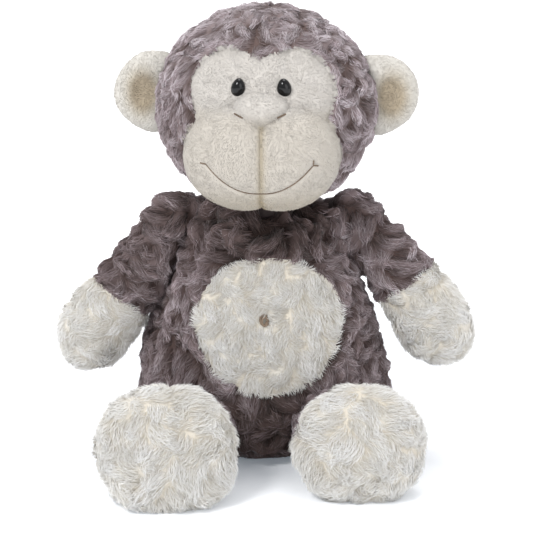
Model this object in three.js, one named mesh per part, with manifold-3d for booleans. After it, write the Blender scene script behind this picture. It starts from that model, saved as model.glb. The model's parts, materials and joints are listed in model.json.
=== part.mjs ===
// A plush monkey that sits on the floor: grey long-pile skin, cream face, muzzle, ears, hands,
// belly and feet, stuffed inside, with a bag of pellets in its seat.
// Millimetres, +Z up. The toy faces -Y, its own right side is at -X, and the origin is on the
// floor under the middle of the whole toy.
import * as THREE from 'three';
import { mergeVertices } from 'three/addons/utils/BufferGeometryUtils.js';
import Module from 'manifold-3d';

const wasm = await Module();
wasm.setup();

// ---------------------------------------------------------------- driving sizes
const GAP = 0.3; // between neighbours that touch
const GREY_WALL = 6; // long-pile fabric with its backing
const CREAM_WALL = 5; // cream fabric with its backing
const FAR = 300; // reaches past the toy in every direction
const RADIAN = Math.PI / 180;

// Torso: a pear with an oval section and a flat seat.
const TORSO_DEPTH_RATIO = 0.75;
const TORSO_SIDE = [
  [46, 0],
  [64, 6],
  [75, 20],
  [78, 42],
  [72, 72],
  [60, 106],
  [50, 135],
  [38, 150],
  [20, 155.5],
  [0, 156.5],
]; // [half width, height], from the seat's edge up to the neck
const SEAT_PANEL_HEIGHT = 13;
const BELLY = { x: 3, height: 91, halfWidth: 44.5, halfHeight: 41 };
const BUTTON = { height: 96, radius: 2.6, thread: 0.9 };
const PELLET_BAG = { y: 16, height: 19, halfWidth: 40, halfDepth: 22, halfHeight: 14 };
const BACK_SEAM = { fromHeight: 50, stitches: 10, pitch: 4, width: 5, radius: 0.8 };
const LABEL = { width: 16, drop: 12, thickness: 1.2, height: 30, x: -24, offSkin: 2.5 };

// Neck: a fabric ball between torso and head, with its pivot at the ball's centre.
const NECK = { y: 2, height: 160, radius: 23, seatHeight: -9, crownHeight: 12 };
const HEAD_SHIFT = 1.5; // the head sits a little to the toy's left
const HEAD_TURN = -3; // degrees; the face looks a little to the toy's right

// Head, in the head's own frame: its origin is the neck pivot, and it faces -Y.
const SKULL = { y: -2, height: 59.5, halfWidth: 66, halfDepth: 59, halfHeight: 60.5 };
const HOOD_SEAM_Y = 16; // the seam that runs over the head behind the ears
const FACE = {
  dip: 96,
  lobeX: 21,
  lobeHeight: 101,
  cheekX: 42,
  cheekHeight: 80,
  jawX: 37,
  jawHeight: 52,
};
const MUZZLE = { lobeX: 10, y: -50, height: 38, halfWidth: 37, halfDepth: 33, halfHeight: 32 };
const NOSE = { y: -61, height: 68, halfWidth: 17, halfDepth: 15, halfHeight: 9, tipHeight: 58.5 };
const EYE = { x: 13.3, height: 80, halfWidth: 3.9, halfHeight: 5.4, dome: 3.4, proud: 0.9 };
const EYE_SHANK = { radius: 1.5, length: 9 };
const EYE_WASHER = { radius: 5, thickness: 1.6, inside: 5.2 };
const NOSTRIL = { x: 12.5, height: 66, length: 5.5, rise: 2.6, radius: 0.9 };
const MOUTH = { halfWidth: 31, cornerHeight: 38.5, lowHeight: 21, bow: 2.2, radius: 0.8, tick: 3.2 };
const STITCH_PROUD = 0.2; // how far a stitch's middle stands off the plush
const EAR = { x: 70.5, y: 4, halfWidth: 24.5, halfHeight: 25, halfDepth: 8 };
const EAR_HEIGHTS = { right: 67.5, left: 66.5 };
const EAR_DISH = { x: 71.5, radius: 17, depth: 4.5 };
const EAR_ROOT_CLEARANCE = 3; // room to fold against the skull

// Arms: a ball at the shoulder, then a sleeve along a bent centre line, then the hand.
const SHOULDER = { x: 54, y: 1, height: 148, radius: 14 };
const ARM_BENDS = {
  right: { x: 87, y: -6, height: 107 },
  left: { x: 94, y: -6, height: 114 },
};
const ARM_TIP = { x: 121, y: -14, height: 58 };
const ARM_SIDE = [
  [14, 0],
  [13.8, 10],
  [15, 28],
  [16.8, 46],
  [18, 60],
  [21, 74],
  [21, 88],
  [17.5, 100],
  [10.5, 109],
  [0, 113],
]; // [radius, distance from the shoulder pivot]
const CUFFS = { right: 62, left: 55 }; // from the shoulder pivot to the seam between sleeve and hand
const ARM_FLATNESS = 0.9; // the hand's thickness over its width
const ARM_CONE = { apexIn: 16.5, slope: 0.51 }; // the flank's hollow that the arm turns in

// Legs: a ball at the hip, a short leg, and a big foot whose sole faces forward.
const HIP = { x: 38, y: -46, height: 28, radius: 19 };
const LEG_RADIUS_AT_FOOT = 23;
const LEG_SWING_DOWN = 80; // degrees, from sitting to hanging
const LEG_SPLAYS = [-8, 0, 20]; // degrees outward, that the hanging leg has room for
const LEG_CLEARANCE = 3;
const FEET = {
  right: { x: -57.5, y: -104, height: 34.5, halfWidth: 39.5, halfDepth: 23, halfHeight: 35.5 },
  left: { x: 57.5, y: -91, height: 32, halfWidth: 37, halfDepth: 22, halfHeight: 33 },
};
const FOOT_TREAD = 0.4; // the foot's flat underside is this far off the floor
const SOLE_DEPTH = 13; // thickness of the sole panel, front to back, at its middle

// Tail: lies behind the seat and curls to the toy's left.
const TAIL_ROOT = { y: 58, height: 15, radius: 9.5 };
const TAIL_BEND = { x: 4, y: 102, height: 12 };
const TAIL_TIP = { x: 50, y: 98, height: 12.5 };
const TAIL_SIDE = [
  [9.5, 0],
  [8.6, 14],
  [8.6, 50],
  [9, 80],
  [5.5, 96],
  [0, 100],
];

// Ball joints: a fabric cap turns between the limb's ball and the torso's socket.
const CAP_INSIDE = 0.8; // room between the limb's ball and the cap
const CAP_OUTSIDE = 2.2; // the cap's outer face, off the limb's ball
const SOCKET = 4; // the socket's face, off the limb's ball
const NECK_ROOM = 1.2; // between the neck's ball and the head
const SHOULDER_CAP_PLANE = 10.6; // how far inside the pivot the shoulder cap ends
const HIP_CAP_PLANE = 11;
const TAIL_CAP_PLANE = 5;
const TAIL_ROOT_CUT = 2; // the tail's open root ends this far in front of its pivot

// Facets: [around, along] for each kind of form, outside skin and inside face.
const FACETS = {
  torso: [20, 10],
  torsoInside: [12, 7],
  skull: [20, 12],
  skullInside: [12, 8],
  muzzle: [16, 10],
  muzzleInside: [10, 6],
  nose: [14, 8],
  eye: [14, 8],
  ear: [18, 10],
  earDish: [12, 6],
  arm: [12, 8],
  armInside: [8, 8],
  leg: [12, 4],
  legInside: [8, 4],
  foot: [16, 10],
  footInside: [10, 7],
  tail: [10, 8],
  tailInside: [8, 8],
  bag: [12, 6],
  socket: [12, 8],
  button: [5, 10],
};

const COLOURS = {
  grey: '#83767a',
  greyUnder: '#6d6063',
  cream: '#d2cec5',
  facePlush: '#d3cdc2',
  earPlush: '#c9c0b0',
  thread: '#6b5c50',
  seam: '#8a7d80',
  eye: '#060607',
  plastic: '#e6e4de',
  fibre: '#f2f1ee',
  bag: '#dcd6c8',
  label: '#f4f3ef',
};

// ---------------------------------------------------------------- solids and booleans
function solidOf(geometry) {
  const bare = new THREE.BufferGeometry();
  const flat = geometry.index ? geometry.toNonIndexed() : geometry;
  bare.setAttribute('position', flat.getAttribute('position'));
  const merged = mergeVertices(bare, 1e-4);
  const vertProperties = new Float32Array(merged.getAttribute('position').array);
  const triVerts = new Uint32Array(merged.index.array);
  return new wasm.Manifold(new wasm.Mesh({ numProp: 3, vertProperties, triVerts }));
}

function geometryOf(solid) {
  const { vertProperties, triVerts } = solid.getMesh();
  const geometry = new THREE.BufferGeometry();
  geometry.setAttribute('position', new THREE.BufferAttribute(new Float32Array(vertProperties), 3));
  geometry.setIndex(new THREE.BufferAttribute(new Uint32Array(triVerts), 1));
  const faceted = geometry.toNonIndexed();
  faceted.computeVertexNormals();
  return faceted;
}

const join = (first, ...others) => others.reduce((all, next) => all.add(next), first);
const cut = (body, ...tools) => tools.reduce((left, tool) => left.subtract(tool), body);
const common = (first, ...others) => others.reduce((all, next) => all.intersect(next), first);

// An oval ball; grow moves its surface outwards.
function oval({ x = 0, y = 0, height, halfWidth, halfDepth, halfHeight }, grow, facets) {
  const geometry = new THREE.SphereGeometry(1, ...facets);
  geometry.rotateX(Math.PI / 2);
  geometry.scale(halfWidth + grow, halfDepth + grow, halfHeight + grow);
  geometry.translate(x, y, height);
  return solidOf(geometry);
}

function ball(centre, radius, facets = [16, 10]) {
  const geometry = new THREE.SphereGeometry(radius, ...facets);
  geometry.rotateX(Math.PI / 2);
  geometry.translate(centre.x, centre.y, centre.z);
  return solidOf(geometry);
}

function block(min, max) {
  const geometry = new THREE.BoxGeometry(max[0] - min[0], max[1] - min[1], max[2] - min[2]);
  geometry.translate((min[0] + max[0]) / 2, (min[1] + max[1]) / 2, (min[2] + max[2]) / 2);
  return solidOf(geometry);
}

// Everything on one side of a plane, out to FAR.
function beyond(point, normal) {
  const geometry = new THREE.BoxGeometry(2 * FAR, 2 * FAR, FAR);
  geometry.translate(0, 0, FAR / 2);
  geometry.applyQuaternion(turnFrom(new THREE.Vector3(0, 0, 1), normal));
  geometry.translate(point.x, point.y, point.z);
  return solidOf(geometry);
}

function rod(from, to, radius, around = 12) {
  const span = new THREE.Vector3().subVectors(to, from);
  const geometry = new THREE.CylinderGeometry(radius, radius, span.length(), around);
  geometry.applyQuaternion(turnFrom(new THREE.Vector3(0, 1, 0), span));
  geometry.translate((from.x + to.x) / 2, (from.y + to.y) / 2, (from.z + to.z) / 2);
  return solidOf(geometry);
}

function turnFrom(start, end) {
  return new THREE.Quaternion().setFromUnitVectors(start.clone().normalize(), end.clone().normalize());
}

// A flat outline in X and Z, extruded along Y from back to front.
function prism(shape, front, back, curveSegments = 10) {
  const geometry = new THREE.ExtrudeGeometry(shape, {
    depth: back - front,
    bevelEnabled: false,
    curveSegments,
  });
  geometry.rotateX(Math.PI / 2);
  geometry.translate(0, back, 0);
  return solidOf(geometry);
}

// A thread or cord of round section along a curve.
function thread(points, radius, steps, sides = 3) {
  const section = new THREE.Shape().absarc(0, 0, radius, 0, 2 * Math.PI);
  const geometry = new THREE.ExtrudeGeometry(section, {
    steps,
    curveSegments: sides,
    extrudePath: new THREE.CatmullRomCurve3(points),
  });
  return solidOf(geometry);
}

// A round limb about a centre line: the profile starts with a half ball about the line's start.
function limb(side, centreLine, inset, [around, rings], flatness = 1) {
  const ballRadius = side[0][0];
  const reach = side[side.length - 1][1];
  const profile = [];
  const ballSteps = 4;
  for (let i = 0; i < ballSteps; i += 1) {
    const angle = (-90 + (90 * i) / ballSteps) * RADIAN;
    const radius = ballRadius - inset;
    profile.push(new THREE.Vector2(radius * Math.cos(angle), radius * Math.sin(angle)));
  }
  profile[0].x = 0;
  const outline = new THREE.SplineCurve(side.map(([radius, along]) => new THREE.Vector2(radius, along)));
  for (const point of outline.getPoints(rings)) {
    const along = (point.y * (reach - inset)) / reach;
    profile.push(new THREE.Vector2(Math.max(point.x - inset, 0), along));
  }
  const closed = profile.filter((point, i) => i === 0 || point.x > 0 || i === profile.length - 1);
  const geometry = new THREE.LatheGeometry(closed, around);
  bendAlong(geometry, centreLine, flatness);
  return solidOf(geometry);
}

// Carries a lathe's vertices, whose axis is Y, onto a curve, straight on past the curve's ends.
function bendAlong(geometry, curve, flatness) {
  const length = curve.getLength();
  const vertices = geometry.getAttribute('position');
  for (let i = 0; i < vertices.count; i += 1) {
    const along = vertices.getY(i);
    const share = THREE.MathUtils.clamp(along / length, 0, 1);
    const tangent = curve.getTangentAt(share);
    const front = new THREE.Vector3(0, -1, 0).addScaledVector(tangent, tangent.y).normalize();
    const across = new THREE.Vector3().crossVectors(tangent, front);
    const place = curve.getPointAt(share).addScaledVector(tangent, along - share * length);
    const squeeze = along > 0 ? THREE.MathUtils.lerp(1, flatness, share) : 1;
    place.addScaledVector(across, vertices.getX(i));
    place.addScaledVector(front, vertices.getZ(i) * squeeze);
    vertices.setXYZ(i, place.x, place.y, place.z);
  }
}

// ---------------------------------------------------------------- the scene graph
const toy = new THREE.Group();
const headGroup = new THREE.Group();
headGroup.position.set(HEAD_SHIFT, NECK.y, NECK.height);
headGroup.rotation.z = HEAD_TURN * RADIAN;
toy.add(headGroup);

function addPiece(group, name, solid, color, roughness = 0.95) {
  const mesh = new THREE.Mesh(
    geometryOf(solid),
    new THREE.MeshStandardMaterial({ color, roughness, metalness: 0 }),
  );
  mesh.name = name;
  group.add(mesh);
}

const SIDES = [
  { name: 'right', sign: -1 },
  { name: 'left', sign: 1 },
];
const onSide = (sign, { x, y, height }) => new THREE.Vector3(sign * x, y, height);

// ---------------------------------------------------------------- torso
const torsoOutline = new THREE.SplineCurve(TORSO_SIDE.map((point) => new THREE.Vector2(...point)));

function pear(inset, [around, rings]) {
  const top = TORSO_SIDE[TORSO_SIDE.length - 1][1];
  const profile = torsoOutline.getPoints(rings).map((point) => {
    const height = inset + (point.y * (top - 2 * inset)) / top;
    return new THREE.Vector2(Math.max(point.x - inset, 0), height);
  });
  const side = profile.filter((point, i) => point.x > 0 || i === profile.length - 1);
  const geometry = new THREE.LatheGeometry([new THREE.Vector2(0, inset), ...side], around);
  geometry.rotateX(Math.PI / 2);
  geometry.scale(1, TORSO_DEPTH_RATIO, 1);
  return solidOf(geometry);
}

const neckPivot = new THREE.Vector3(HEAD_SHIFT, NECK.y, NECK.height);
const tailPivot = new THREE.Vector3(0, TAIL_ROOT.y, TAIL_ROOT.height);

// The room that one leg sweeps while it swings down, and out and in again where it hangs.
function legRoom(sign, foot) {
  const pivot = onSide(sign, HIP);
  const rest = new THREE.Vector3(foot.x, foot.y, HIP.height).sub(pivot).normalize();
  const reach = 60;
  const along = (swing, splay) => {
    const direction = rest.clone();
    direction.applyAxisAngle(new THREE.Vector3(0, 0, sign), splay * RADIAN);
    direction.applyAxisAngle(new THREE.Vector3(1, 0, 0), swing * RADIAN);
    return rod(pivot, pivot.clone().addScaledVector(direction, reach), HIP.radius + LEG_CLEARANCE, 10);
  };
  const onTheWay = [1 / 3, 2 / 3].map((share) => along(share * LEG_SWING_DOWN, 0));
  const hanging = LEG_SPLAYS.map((splay) => along(LEG_SWING_DOWN, splay));
  return join(...onTheWay, ...hanging);
}

// The hollow in the flank that one arm turns in, round the shoulder's axis.
function armRoom(sign) {
  const depth = 30;
  const apex = SHOULDER.x - ARM_CONE.apexIn;
  const geometry = new THREE.ConeGeometry(depth / ARM_CONE.slope, depth, 14);
  geometry.rotateZ((sign * Math.PI) / 2);
  geometry.translate(sign * (apex + depth / 2), SHOULDER.y, SHOULDER.height);
  return solidOf(geometry);
}

function buildTorso() {
  const skin = cut(pear(0, FACETS.torso), pear(GREY_WALL, FACETS.torsoInside));
  const socket = (pivot, radius) => ball(pivot, radius + SOCKET, FACETS.socket);
  const rooms = [socket(neckPivot, NECK.radius), socket(tailPivot, TAIL_ROOT.radius)];
  for (const { name, sign } of SIDES) {
    rooms.push(armRoom(sign), socket(onSide(sign, SHOULDER), SHOULDER.radius));
    rooms.push(legRoom(sign, FEET[name]), socket(onSide(sign, HIP), HIP.radius));
  }
  const allRoom = join(...rooms);
  const grey = cut(skin, allRoom);

  const patchOutline = (grow) => new THREE.Shape().absellipse(
    BELLY.x,
    BELLY.height,
    BELLY.halfWidth + grow,
    BELLY.halfHeight + grow,
    0,
    2 * Math.PI,
  );
  const front = cut(grey, prism(patchOutline(GAP / 2), -FAR, 0, 8));
  const half = GAP / 2;
  const aboveSeam = SEAT_PANEL_HEIGHT + half;
  const frontHalf = block([-FAR, -FAR, aboveSeam], [FAR, -half, FAR]);
  const backRight = block([-FAR, half, aboveSeam], [-half, FAR, FAR]);
  const backLeft = block([half, half, aboveSeam], [FAR, FAR, FAR]);
  const belowSeam = block([-FAR, -FAR, -FAR], [FAR, FAR, SEAT_PANEL_HEIGHT - half]);
  addPiece(toy, 'torso_front', common(front, frontHalf), COLOURS.grey);
  addPiece(toy, 'torso_back_right', common(grey, backRight), COLOURS.grey);
  addPiece(toy, 'torso_back_left', common(grey, backLeft), COLOURS.grey);
  addPiece(toy, 'seat_panel', common(grey, belowSeam), COLOURS.greyUnder);

  const buttonPlace = new THREE.Vector3(0, bellySurface(BUTTON.height), BUTTON.height);
  const patch = common(grey, prism(patchOutline(-GAP / 2), -FAR, 0, 8));
  addPiece(toy, 'belly_patch', cut(patch, buttonRing(buttonPlace, GAP)), COLOURS.cream);
  addPiece(toy, 'belly_button', buttonRing(buttonPlace, 0), COLOURS.thread, 0.8);

  const bag = oval(PELLET_BAG, 0, FACETS.bag);
  const aboveSeat = block([-FAR, -FAR, GREY_WALL + GAP], [FAR, FAR, FAR]);
  addPiece(toy, 'pellet_bag', common(bag, aboveSeat), COLOURS.bag, 0.85);
  const bagRoom = join(
    oval(PELLET_BAG, GAP, FACETS.bag),
    oval({ ...PELLET_BAG, height: GREY_WALL }, GAP, FACETS.bag),
  );
  const filling = pear(GREY_WALL + GAP, FACETS.torsoInside);
  addPiece(toy, 'torso_stuffing', cut(filling, allRoom, bagRoom), COLOURS.fibre);

  addPiece(toy, 'back_seam_stitches', backStitches(), COLOURS.seam, 0.85);
  addPiece(toy, 'blank_label', labelTab(), COLOURS.label, 0.7);
}

// How far forward the pear's front surface is, on the middle line, at a height.
function bellySurface(height) {
  const nearest = torsoOutline.getPoints(200).reduce((best, point) => (
    Math.abs(point.y - height) < Math.abs(best.y - height) ? point : best
  ));
  return -nearest.x * TORSO_DEPTH_RATIO;
}

function buttonRing(place, grow) {
  const geometry = new THREE.TorusGeometry(BUTTON.radius, BUTTON.thread + grow, ...FACETS.button);
  geometry.rotateX(Math.PI / 2);
  geometry.translate(place.x, place.y, place.z);
  return solidOf(geometry);
}

// The hand-sewn thread that closes the back seam, zigzag across it.
function backStitches() {
  const stitches = [];
  const place = (i) => {
    const height = BACK_SEAM.fromHeight + i * BACK_SEAM.pitch;
    const x = (i % 2 ? 0.5 : -0.5) * BACK_SEAM.width;
    return new THREE.Vector3(x, -bellySurface(height) + BACK_SEAM.radius + GAP + 0.2, height);
  };
  for (let i = 0; i < BACK_SEAM.stitches; i += 1) {
    stitches.push(rod(place(i), place(i + 1), BACK_SEAM.radius, 4));
  }
  return join(...stitches);
}

// A blank tab that stands just off the back, turned with the surface behind it.
function labelTab() {
  const backY = -bellySurface(LABEL.height);
  const halfWidth = backY / TORSO_DEPTH_RATIO;
  const y = backY * Math.sqrt(1 - (LABEL.x / halfWidth) ** 2);
  const geometry = new THREE.BoxGeometry(LABEL.width, LABEL.thickness, LABEL.drop);
  geometry.rotateZ(Math.atan2(-LABEL.x * TORSO_DEPTH_RATIO, halfWidth));
  geometry.translate(LABEL.x, y + LABEL.offSkin, LABEL.height);
  return solidOf(geometry);
}

buildTorso();

// ---------------------------------------------------------------- neck
function buildNeck() {
  const centre = new THREE.Vector3(HEAD_SHIFT, NECK.y, NECK.height);
  const core = ball(centre, NECK.radius);
  const seat = NECK.height + NECK.seatHeight;
  const crown = NECK.height + NECK.crownHeight;
  const between = block([-FAR, -FAR, seat], [FAR, FAR, crown]);
  addPiece(toy, 'neck_gusset', common(core, between), COLOURS.greyUnder);
}

buildNeck();

// ---------------------------------------------------------------- head
function faceOutline(grow) {
  const wider = 1 + grow / FACE.cheekX;
  const right = new THREE.SplineCurve([
    new THREE.Vector2(0, FACE.dip + grow),
    new THREE.Vector2(FACE.lobeX * 0.5, (FACE.dip + FACE.lobeHeight) / 2 + 0.8 + grow),
    new THREE.Vector2(FACE.lobeX * wider, FACE.lobeHeight + grow),
    new THREE.Vector2((FACE.cheekX - 7) * wider, FACE.lobeHeight - 8 + grow),
    new THREE.Vector2(FACE.cheekX * wider, FACE.cheekHeight),
    new THREE.Vector2((FACE.cheekX - 2) * wider, FACE.cheekHeight - 14),
    new THREE.Vector2(FACE.jawX * wider, FACE.jawHeight - grow),
  ]).getPoints(12);
  const left = right.slice(1).reverse().map((point) => new THREE.Vector2(-point.x, point.y));
  return new THREE.Shape([...right, ...left]);
}

function muzzleForm(grow, facets) {
  const lobes = SIDES.map(({ sign }) => oval({ ...MUZZLE, x: sign * MUZZLE.lobeX }, grow, facets));
  return join(...lobes);
}

// The front surface of the muzzle, in front of a point on its face.
function muzzleFront(x, height) {
  const across = (Math.abs(x) - MUZZLE.lobeX) / MUZZLE.halfWidth;
  const up = (height - MUZZLE.height) / MUZZLE.halfHeight;
  return MUZZLE.y - MUZZLE.halfDepth * Math.sqrt(Math.max(1 - across ** 2 - up ** 2, 0));
}

// The front surface of the padded nose bridge.
function noseFront(x, height) {
  const across = x / NOSE.halfWidth;
  const up = (height - NOSE.height) / NOSE.halfHeight;
  return NOSE.y - NOSE.halfDepth * Math.sqrt(Math.max(1 - across ** 2 - up ** 2, 0));
}

// The skull's front surface, and the way it faces there.
function skullFront(x, height) {
  const across = x / SKULL.halfWidth;
  const up = (height - SKULL.height) / SKULL.halfHeight;
  const y = SKULL.y - SKULL.halfDepth * Math.sqrt(1 - across ** 2 - up ** 2);
  const normal = new THREE.Vector3(
    x / SKULL.halfWidth ** 2,
    (y - SKULL.y) / SKULL.halfDepth ** 2,
    (height - SKULL.height) / SKULL.halfHeight ** 2,
  ).normalize();
  return { point: new THREE.Vector3(x, y, height), normal };
}

function noseOutline(grow) {
  const half = NOSE.halfWidth + grow;
  const top = FACE.lobeHeight; // well above the padded bridge
  return new THREE.Shape([
    new THREE.Vector2(0, NOSE.tipHeight - 2 * grow),
    new THREE.Vector2(half, NOSE.height + 1),
    new THREE.Vector2(half, top),
    new THREE.Vector2(-half, top),
    new THREE.Vector2(-half, NOSE.height + 1),
  ]);
}

// The smile: a bow in front view that follows the muzzle's surface.
function mouthPath() {
  const points = [];
  const steps = 12;
  for (let i = 0; i <= steps; i += 1) {
    const share = (2 * i) / steps - 1;
    const x = share * MOUTH.halfWidth;
    const rise = MOUTH.cornerHeight - MOUTH.lowHeight;
    const height = MOUTH.lowHeight + rise * Math.abs(share) ** MOUTH.bow;
    points.push(new THREE.Vector3(x, muzzleFront(x, height) - STITCH_PROUD, height));
  }
  return points;
}

function mouthStitch(grow) {
  const path = mouthPath();
  const parts = [thread(path, MOUTH.radius + grow, 12)];
  for (const corner of [path[0], path[path.length - 1]]) {
    const outward = Math.sign(corner.x) * MOUTH.tick;
    const ends = [
      [outward, 1],
      [0.2 * outward, MOUTH.tick],
    ];
    for (const [dx, dz] of ends) {
      const tip = new THREE.Vector3(corner.x + dx, 0, corner.z + dz);
      tip.y = muzzleFront(tip.x, tip.z) - STITCH_PROUD;
      parts.push(rod(corner, tip, MOUTH.radius + grow, 6));
    }
  }
  return join(...parts);
}

function nostril(sign, grow) {
  const half = NOSTRIL.length / 2;
  const inner = new THREE.Vector3(sign * (NOSTRIL.x - half), 0, NOSTRIL.height - NOSTRIL.rise / 2);
  const outer = new THREE.Vector3(sign * (NOSTRIL.x + half), 0, NOSTRIL.height + NOSTRIL.rise / 2);
  for (const end of [inner, outer]) {
    end.y = Math.min(muzzleFront(end.x, end.z), noseFront(end.x, end.z)) - STITCH_PROUD;
  }
  return rod(inner, outer, NOSTRIL.radius + grow, 8);
}

function buildHead() {
  const half = GAP / 2;
  const skull = oval(SKULL, 0, FACETS.skull);
  const offSkull = oval(SKULL, GAP, FACETS.skull);
  const cavity = oval(SKULL, -GREY_WALL, FACETS.skullInside);
  const neckHole = ball(new THREE.Vector3(0, 0, 0), NECK.radius + NECK_ROOM);
  const muzzleHole = muzzleForm(-CREAM_WALL, FACETS.muzzleInside);
  const skin = cut(skull, cavity, neckHole, muzzleHole);

  const facePrism = prism(faceOutline(0), -FAR, -10);
  const faceRoom = prism(faceOutline(GAP), -FAR, -10);
  const hood = cut(skin, faceRoom);
  const seam = HOOD_SEAM_Y;
  const frontRight = block([-FAR, -FAR, -FAR], [-half, seam - half, FAR]);
  const frontLeft = block([half, -FAR, -FAR], [FAR, seam - half, FAR]);
  const behindSeam = block([-FAR, seam + half, -FAR], [FAR, FAR, FAR]);
  addPiece(headGroup, 'hood_right', common(hood, frontRight), COLOURS.grey);
  addPiece(headGroup, 'hood_left', common(hood, frontLeft), COLOURS.grey);
  addPiece(headGroup, 'hood_back', common(hood, behindSeam), COLOURS.grey);

  const eyes = SIDES.map(({ name, sign }) => ({ name, ...skullFront(sign * EYE.x, EYE.height) }));
  const shankRoom = eyes.map((eye) => eyeShank(eye, GAP));
  const washerRoom = eyes.map((eye) => join(eyeWasher(eye, GAP), eyeShank(eye, GAP)));
  const face = common(skin, facePrism);
  addPiece(headGroup, 'face_panel', cut(face, ...washerRoom), COLOURS.facePlush);
  for (const eye of eyes) {
    const bead = cut(eyeDome(eye), offSkull);
    addPiece(headGroup, `eye_${eye.name}`, join(bead, eyeShank(eye, 0)), COLOURS.eye, 0.08);
    addPiece(headGroup, `eye_washer_${eye.name}`, eyeWasher(eye, 0), COLOURS.plastic, 0.5);
  }

  const muzzleSolid = join(muzzleForm(0, FACETS.muzzle), oval(NOSE, 0, FACETS.nose));
  const muzzleSkin = cut(muzzleSolid, muzzleHole, offSkull);
  const stitchRoom = [mouthStitch(GAP), ...SIDES.map(({ sign }) => nostril(sign, GAP))];
  const eyeRoom = eyes.map((eye) => eyeDome(eye, 0.5));
  const muzzleHalves = cut(muzzleSkin, prism(noseOutline(half), -FAR, 0), ...stitchRoom, ...eyeRoom);
  const muzzleRight = common(muzzleHalves, block([-FAR, -FAR, -FAR], [-half, 0, FAR]));
  const muzzleLeft = common(muzzleHalves, block([half, -FAR, -FAR], [FAR, 0, FAR]));
  addPiece(headGroup, 'muzzle_right', largest(muzzleRight), COLOURS.facePlush);
  addPiece(headGroup, 'muzzle_left', largest(muzzleLeft), COLOURS.facePlush);
  const nose = cut(common(muzzleSkin, prism(noseOutline(-half), -FAR, 0)), ...stitchRoom, ...eyeRoom);
  addPiece(headGroup, 'nose_gusset', largest(nose), COLOURS.facePlush);
  addPiece(headGroup, 'mouth_stitch', mouthStitch(0), COLOURS.thread, 0.8);
  for (const { name, sign } of SIDES) {
    addPiece(headGroup, `nostril_stitch_${name}`, nostril(sign, 0), COLOURS.thread, 0.8);
  }

  const skullFilling = oval(SKULL, -GREY_WALL - GAP, FACETS.skullInside);
  addPiece(headGroup, 'head_stuffing', cut(skullFilling, neckHole, ...washerRoom), COLOURS.fibre);
  const muzzleFilling = cut(muzzleForm(-CREAM_WALL - GAP, FACETS.muzzleInside), cavity, ...shankRoom);
  addPiece(headGroup, 'muzzle_stuffing', largest(muzzleFilling), COLOURS.fibre);
}

// The biggest separate solid: the cuts near the eyes can leave crumbs.
function largest(solid) {
  return solid.decompose().reduce((best, next) => (next.volume() > best.volume() ? next : best));
}

function eyeDome({ point, normal }, grow = 0) {
  const geometry = new THREE.SphereGeometry(1, ...FACETS.eye);
  geometry.scale(EYE.halfWidth + grow, EYE.halfHeight + grow, EYE.dome + grow);
  geometry.rotateX(Math.PI / 2);
  geometry.applyQuaternion(turnFrom(new THREE.Vector3(0, -1, 0), normal));
  const place = point.clone().addScaledVector(normal, EYE.proud);
  geometry.translate(place.x, place.y, place.z);
  return solidOf(geometry);
}

function eyeShank({ point, normal }, grow) {
  const inside = point.clone().addScaledVector(normal, -EYE_SHANK.length - grow);
  const outside = point.clone().addScaledVector(normal, EYE.dome / 2);
  return rod(inside, outside, EYE_SHANK.radius + grow, 6);
}

// A ring behind the face panel that holds the eye's shank.
function eyeWasher({ point, normal }, grow) {
  const front = point.clone().addScaledVector(normal, -EYE_WASHER.inside + grow);
  const back = front.clone().addScaledVector(normal, -EYE_WASHER.thickness - 2 * grow);
  const disc = rod(back, front, EYE_WASHER.radius + grow, 10);
  return grow > 0 ? disc : cut(disc, eyeShank({ point, normal }, GAP));
}

buildHead();

function buildEar({ name, sign }) {
  const height = EAR_HEIGHTS[name];
  const headRoom = oval(SKULL, EAR_ROOT_CLEARANCE, FACETS.skull);
  const whole = cut(oval({ ...EAR, x: sign * EAR.x, height }, 0, FACETS.ear), headRoom);
  const dish = oval({
    x: sign * EAR_DISH.x,
    y: EAR.y - EAR.halfDepth - 2,
    height,
    halfWidth: EAR_DISH.radius,
    halfDepth: EAR_DISH.depth + 2,
    halfHeight: EAR_DISH.radius,
  }, 0, FACETS.earDish);
  const front = cut(common(whole, block([-FAR, -FAR, 0], [FAR, EAR.y - GAP / 2, FAR])), dish);
  const back = common(whole, block([-FAR, EAR.y + GAP / 2, 0], [FAR, FAR, FAR]));
  addPiece(headGroup, `ear_front_${name}`, largest(front), COLOURS.earPlush);
  addPiece(headGroup, `ear_back_${name}`, largest(back), COLOURS.facePlush);
}

SIDES.forEach(buildEar);

// ---------------------------------------------------------------- arms
function buildArm({ name, sign }) {
  const pivot = onSide(sign, SHOULDER);
  const line = new THREE.QuadraticBezierCurve3(pivot, onSide(sign, ARM_BENDS[name]), onSide(sign, ARM_TIP));
  const outside = limb(ARM_SIDE, line, 0, FACETS.arm, ARM_FLATNESS);
  const inside = limb(ARM_SIDE, line, CREAM_WALL, FACETS.armInside, ARM_FLATNESS);
  const filling = limb(ARM_SIDE, line, CREAM_WALL + GAP, FACETS.armInside, ARM_FLATNESS);
  const share = CUFFS[name] / line.getLength();
  const cuff = line.getPointAt(share);
  const way = line.getTangentAt(share);
  const skin = cut(outside, inside);
  const pastSeam = beyond(cuff.clone().addScaledVector(way, GAP), way);
  addPiece(toy, `sleeve_${name}`, cut(skin, beyond(cuff, way)), COLOURS.grey);
  addPiece(toy, `hand_${name}`, common(skin, pastSeam), COLOURS.cream);
  addPiece(toy, `arm_stuffing_${name}`, filling, COLOURS.fibre);
  const cap = capOf(pivot, SHOULDER.radius, new THREE.Vector3(-sign, 0, 0), SHOULDER_CAP_PLANE);
  addPiece(toy, `shoulder_gusset_${name}`, cap, COLOURS.greyUnder);
}

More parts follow.
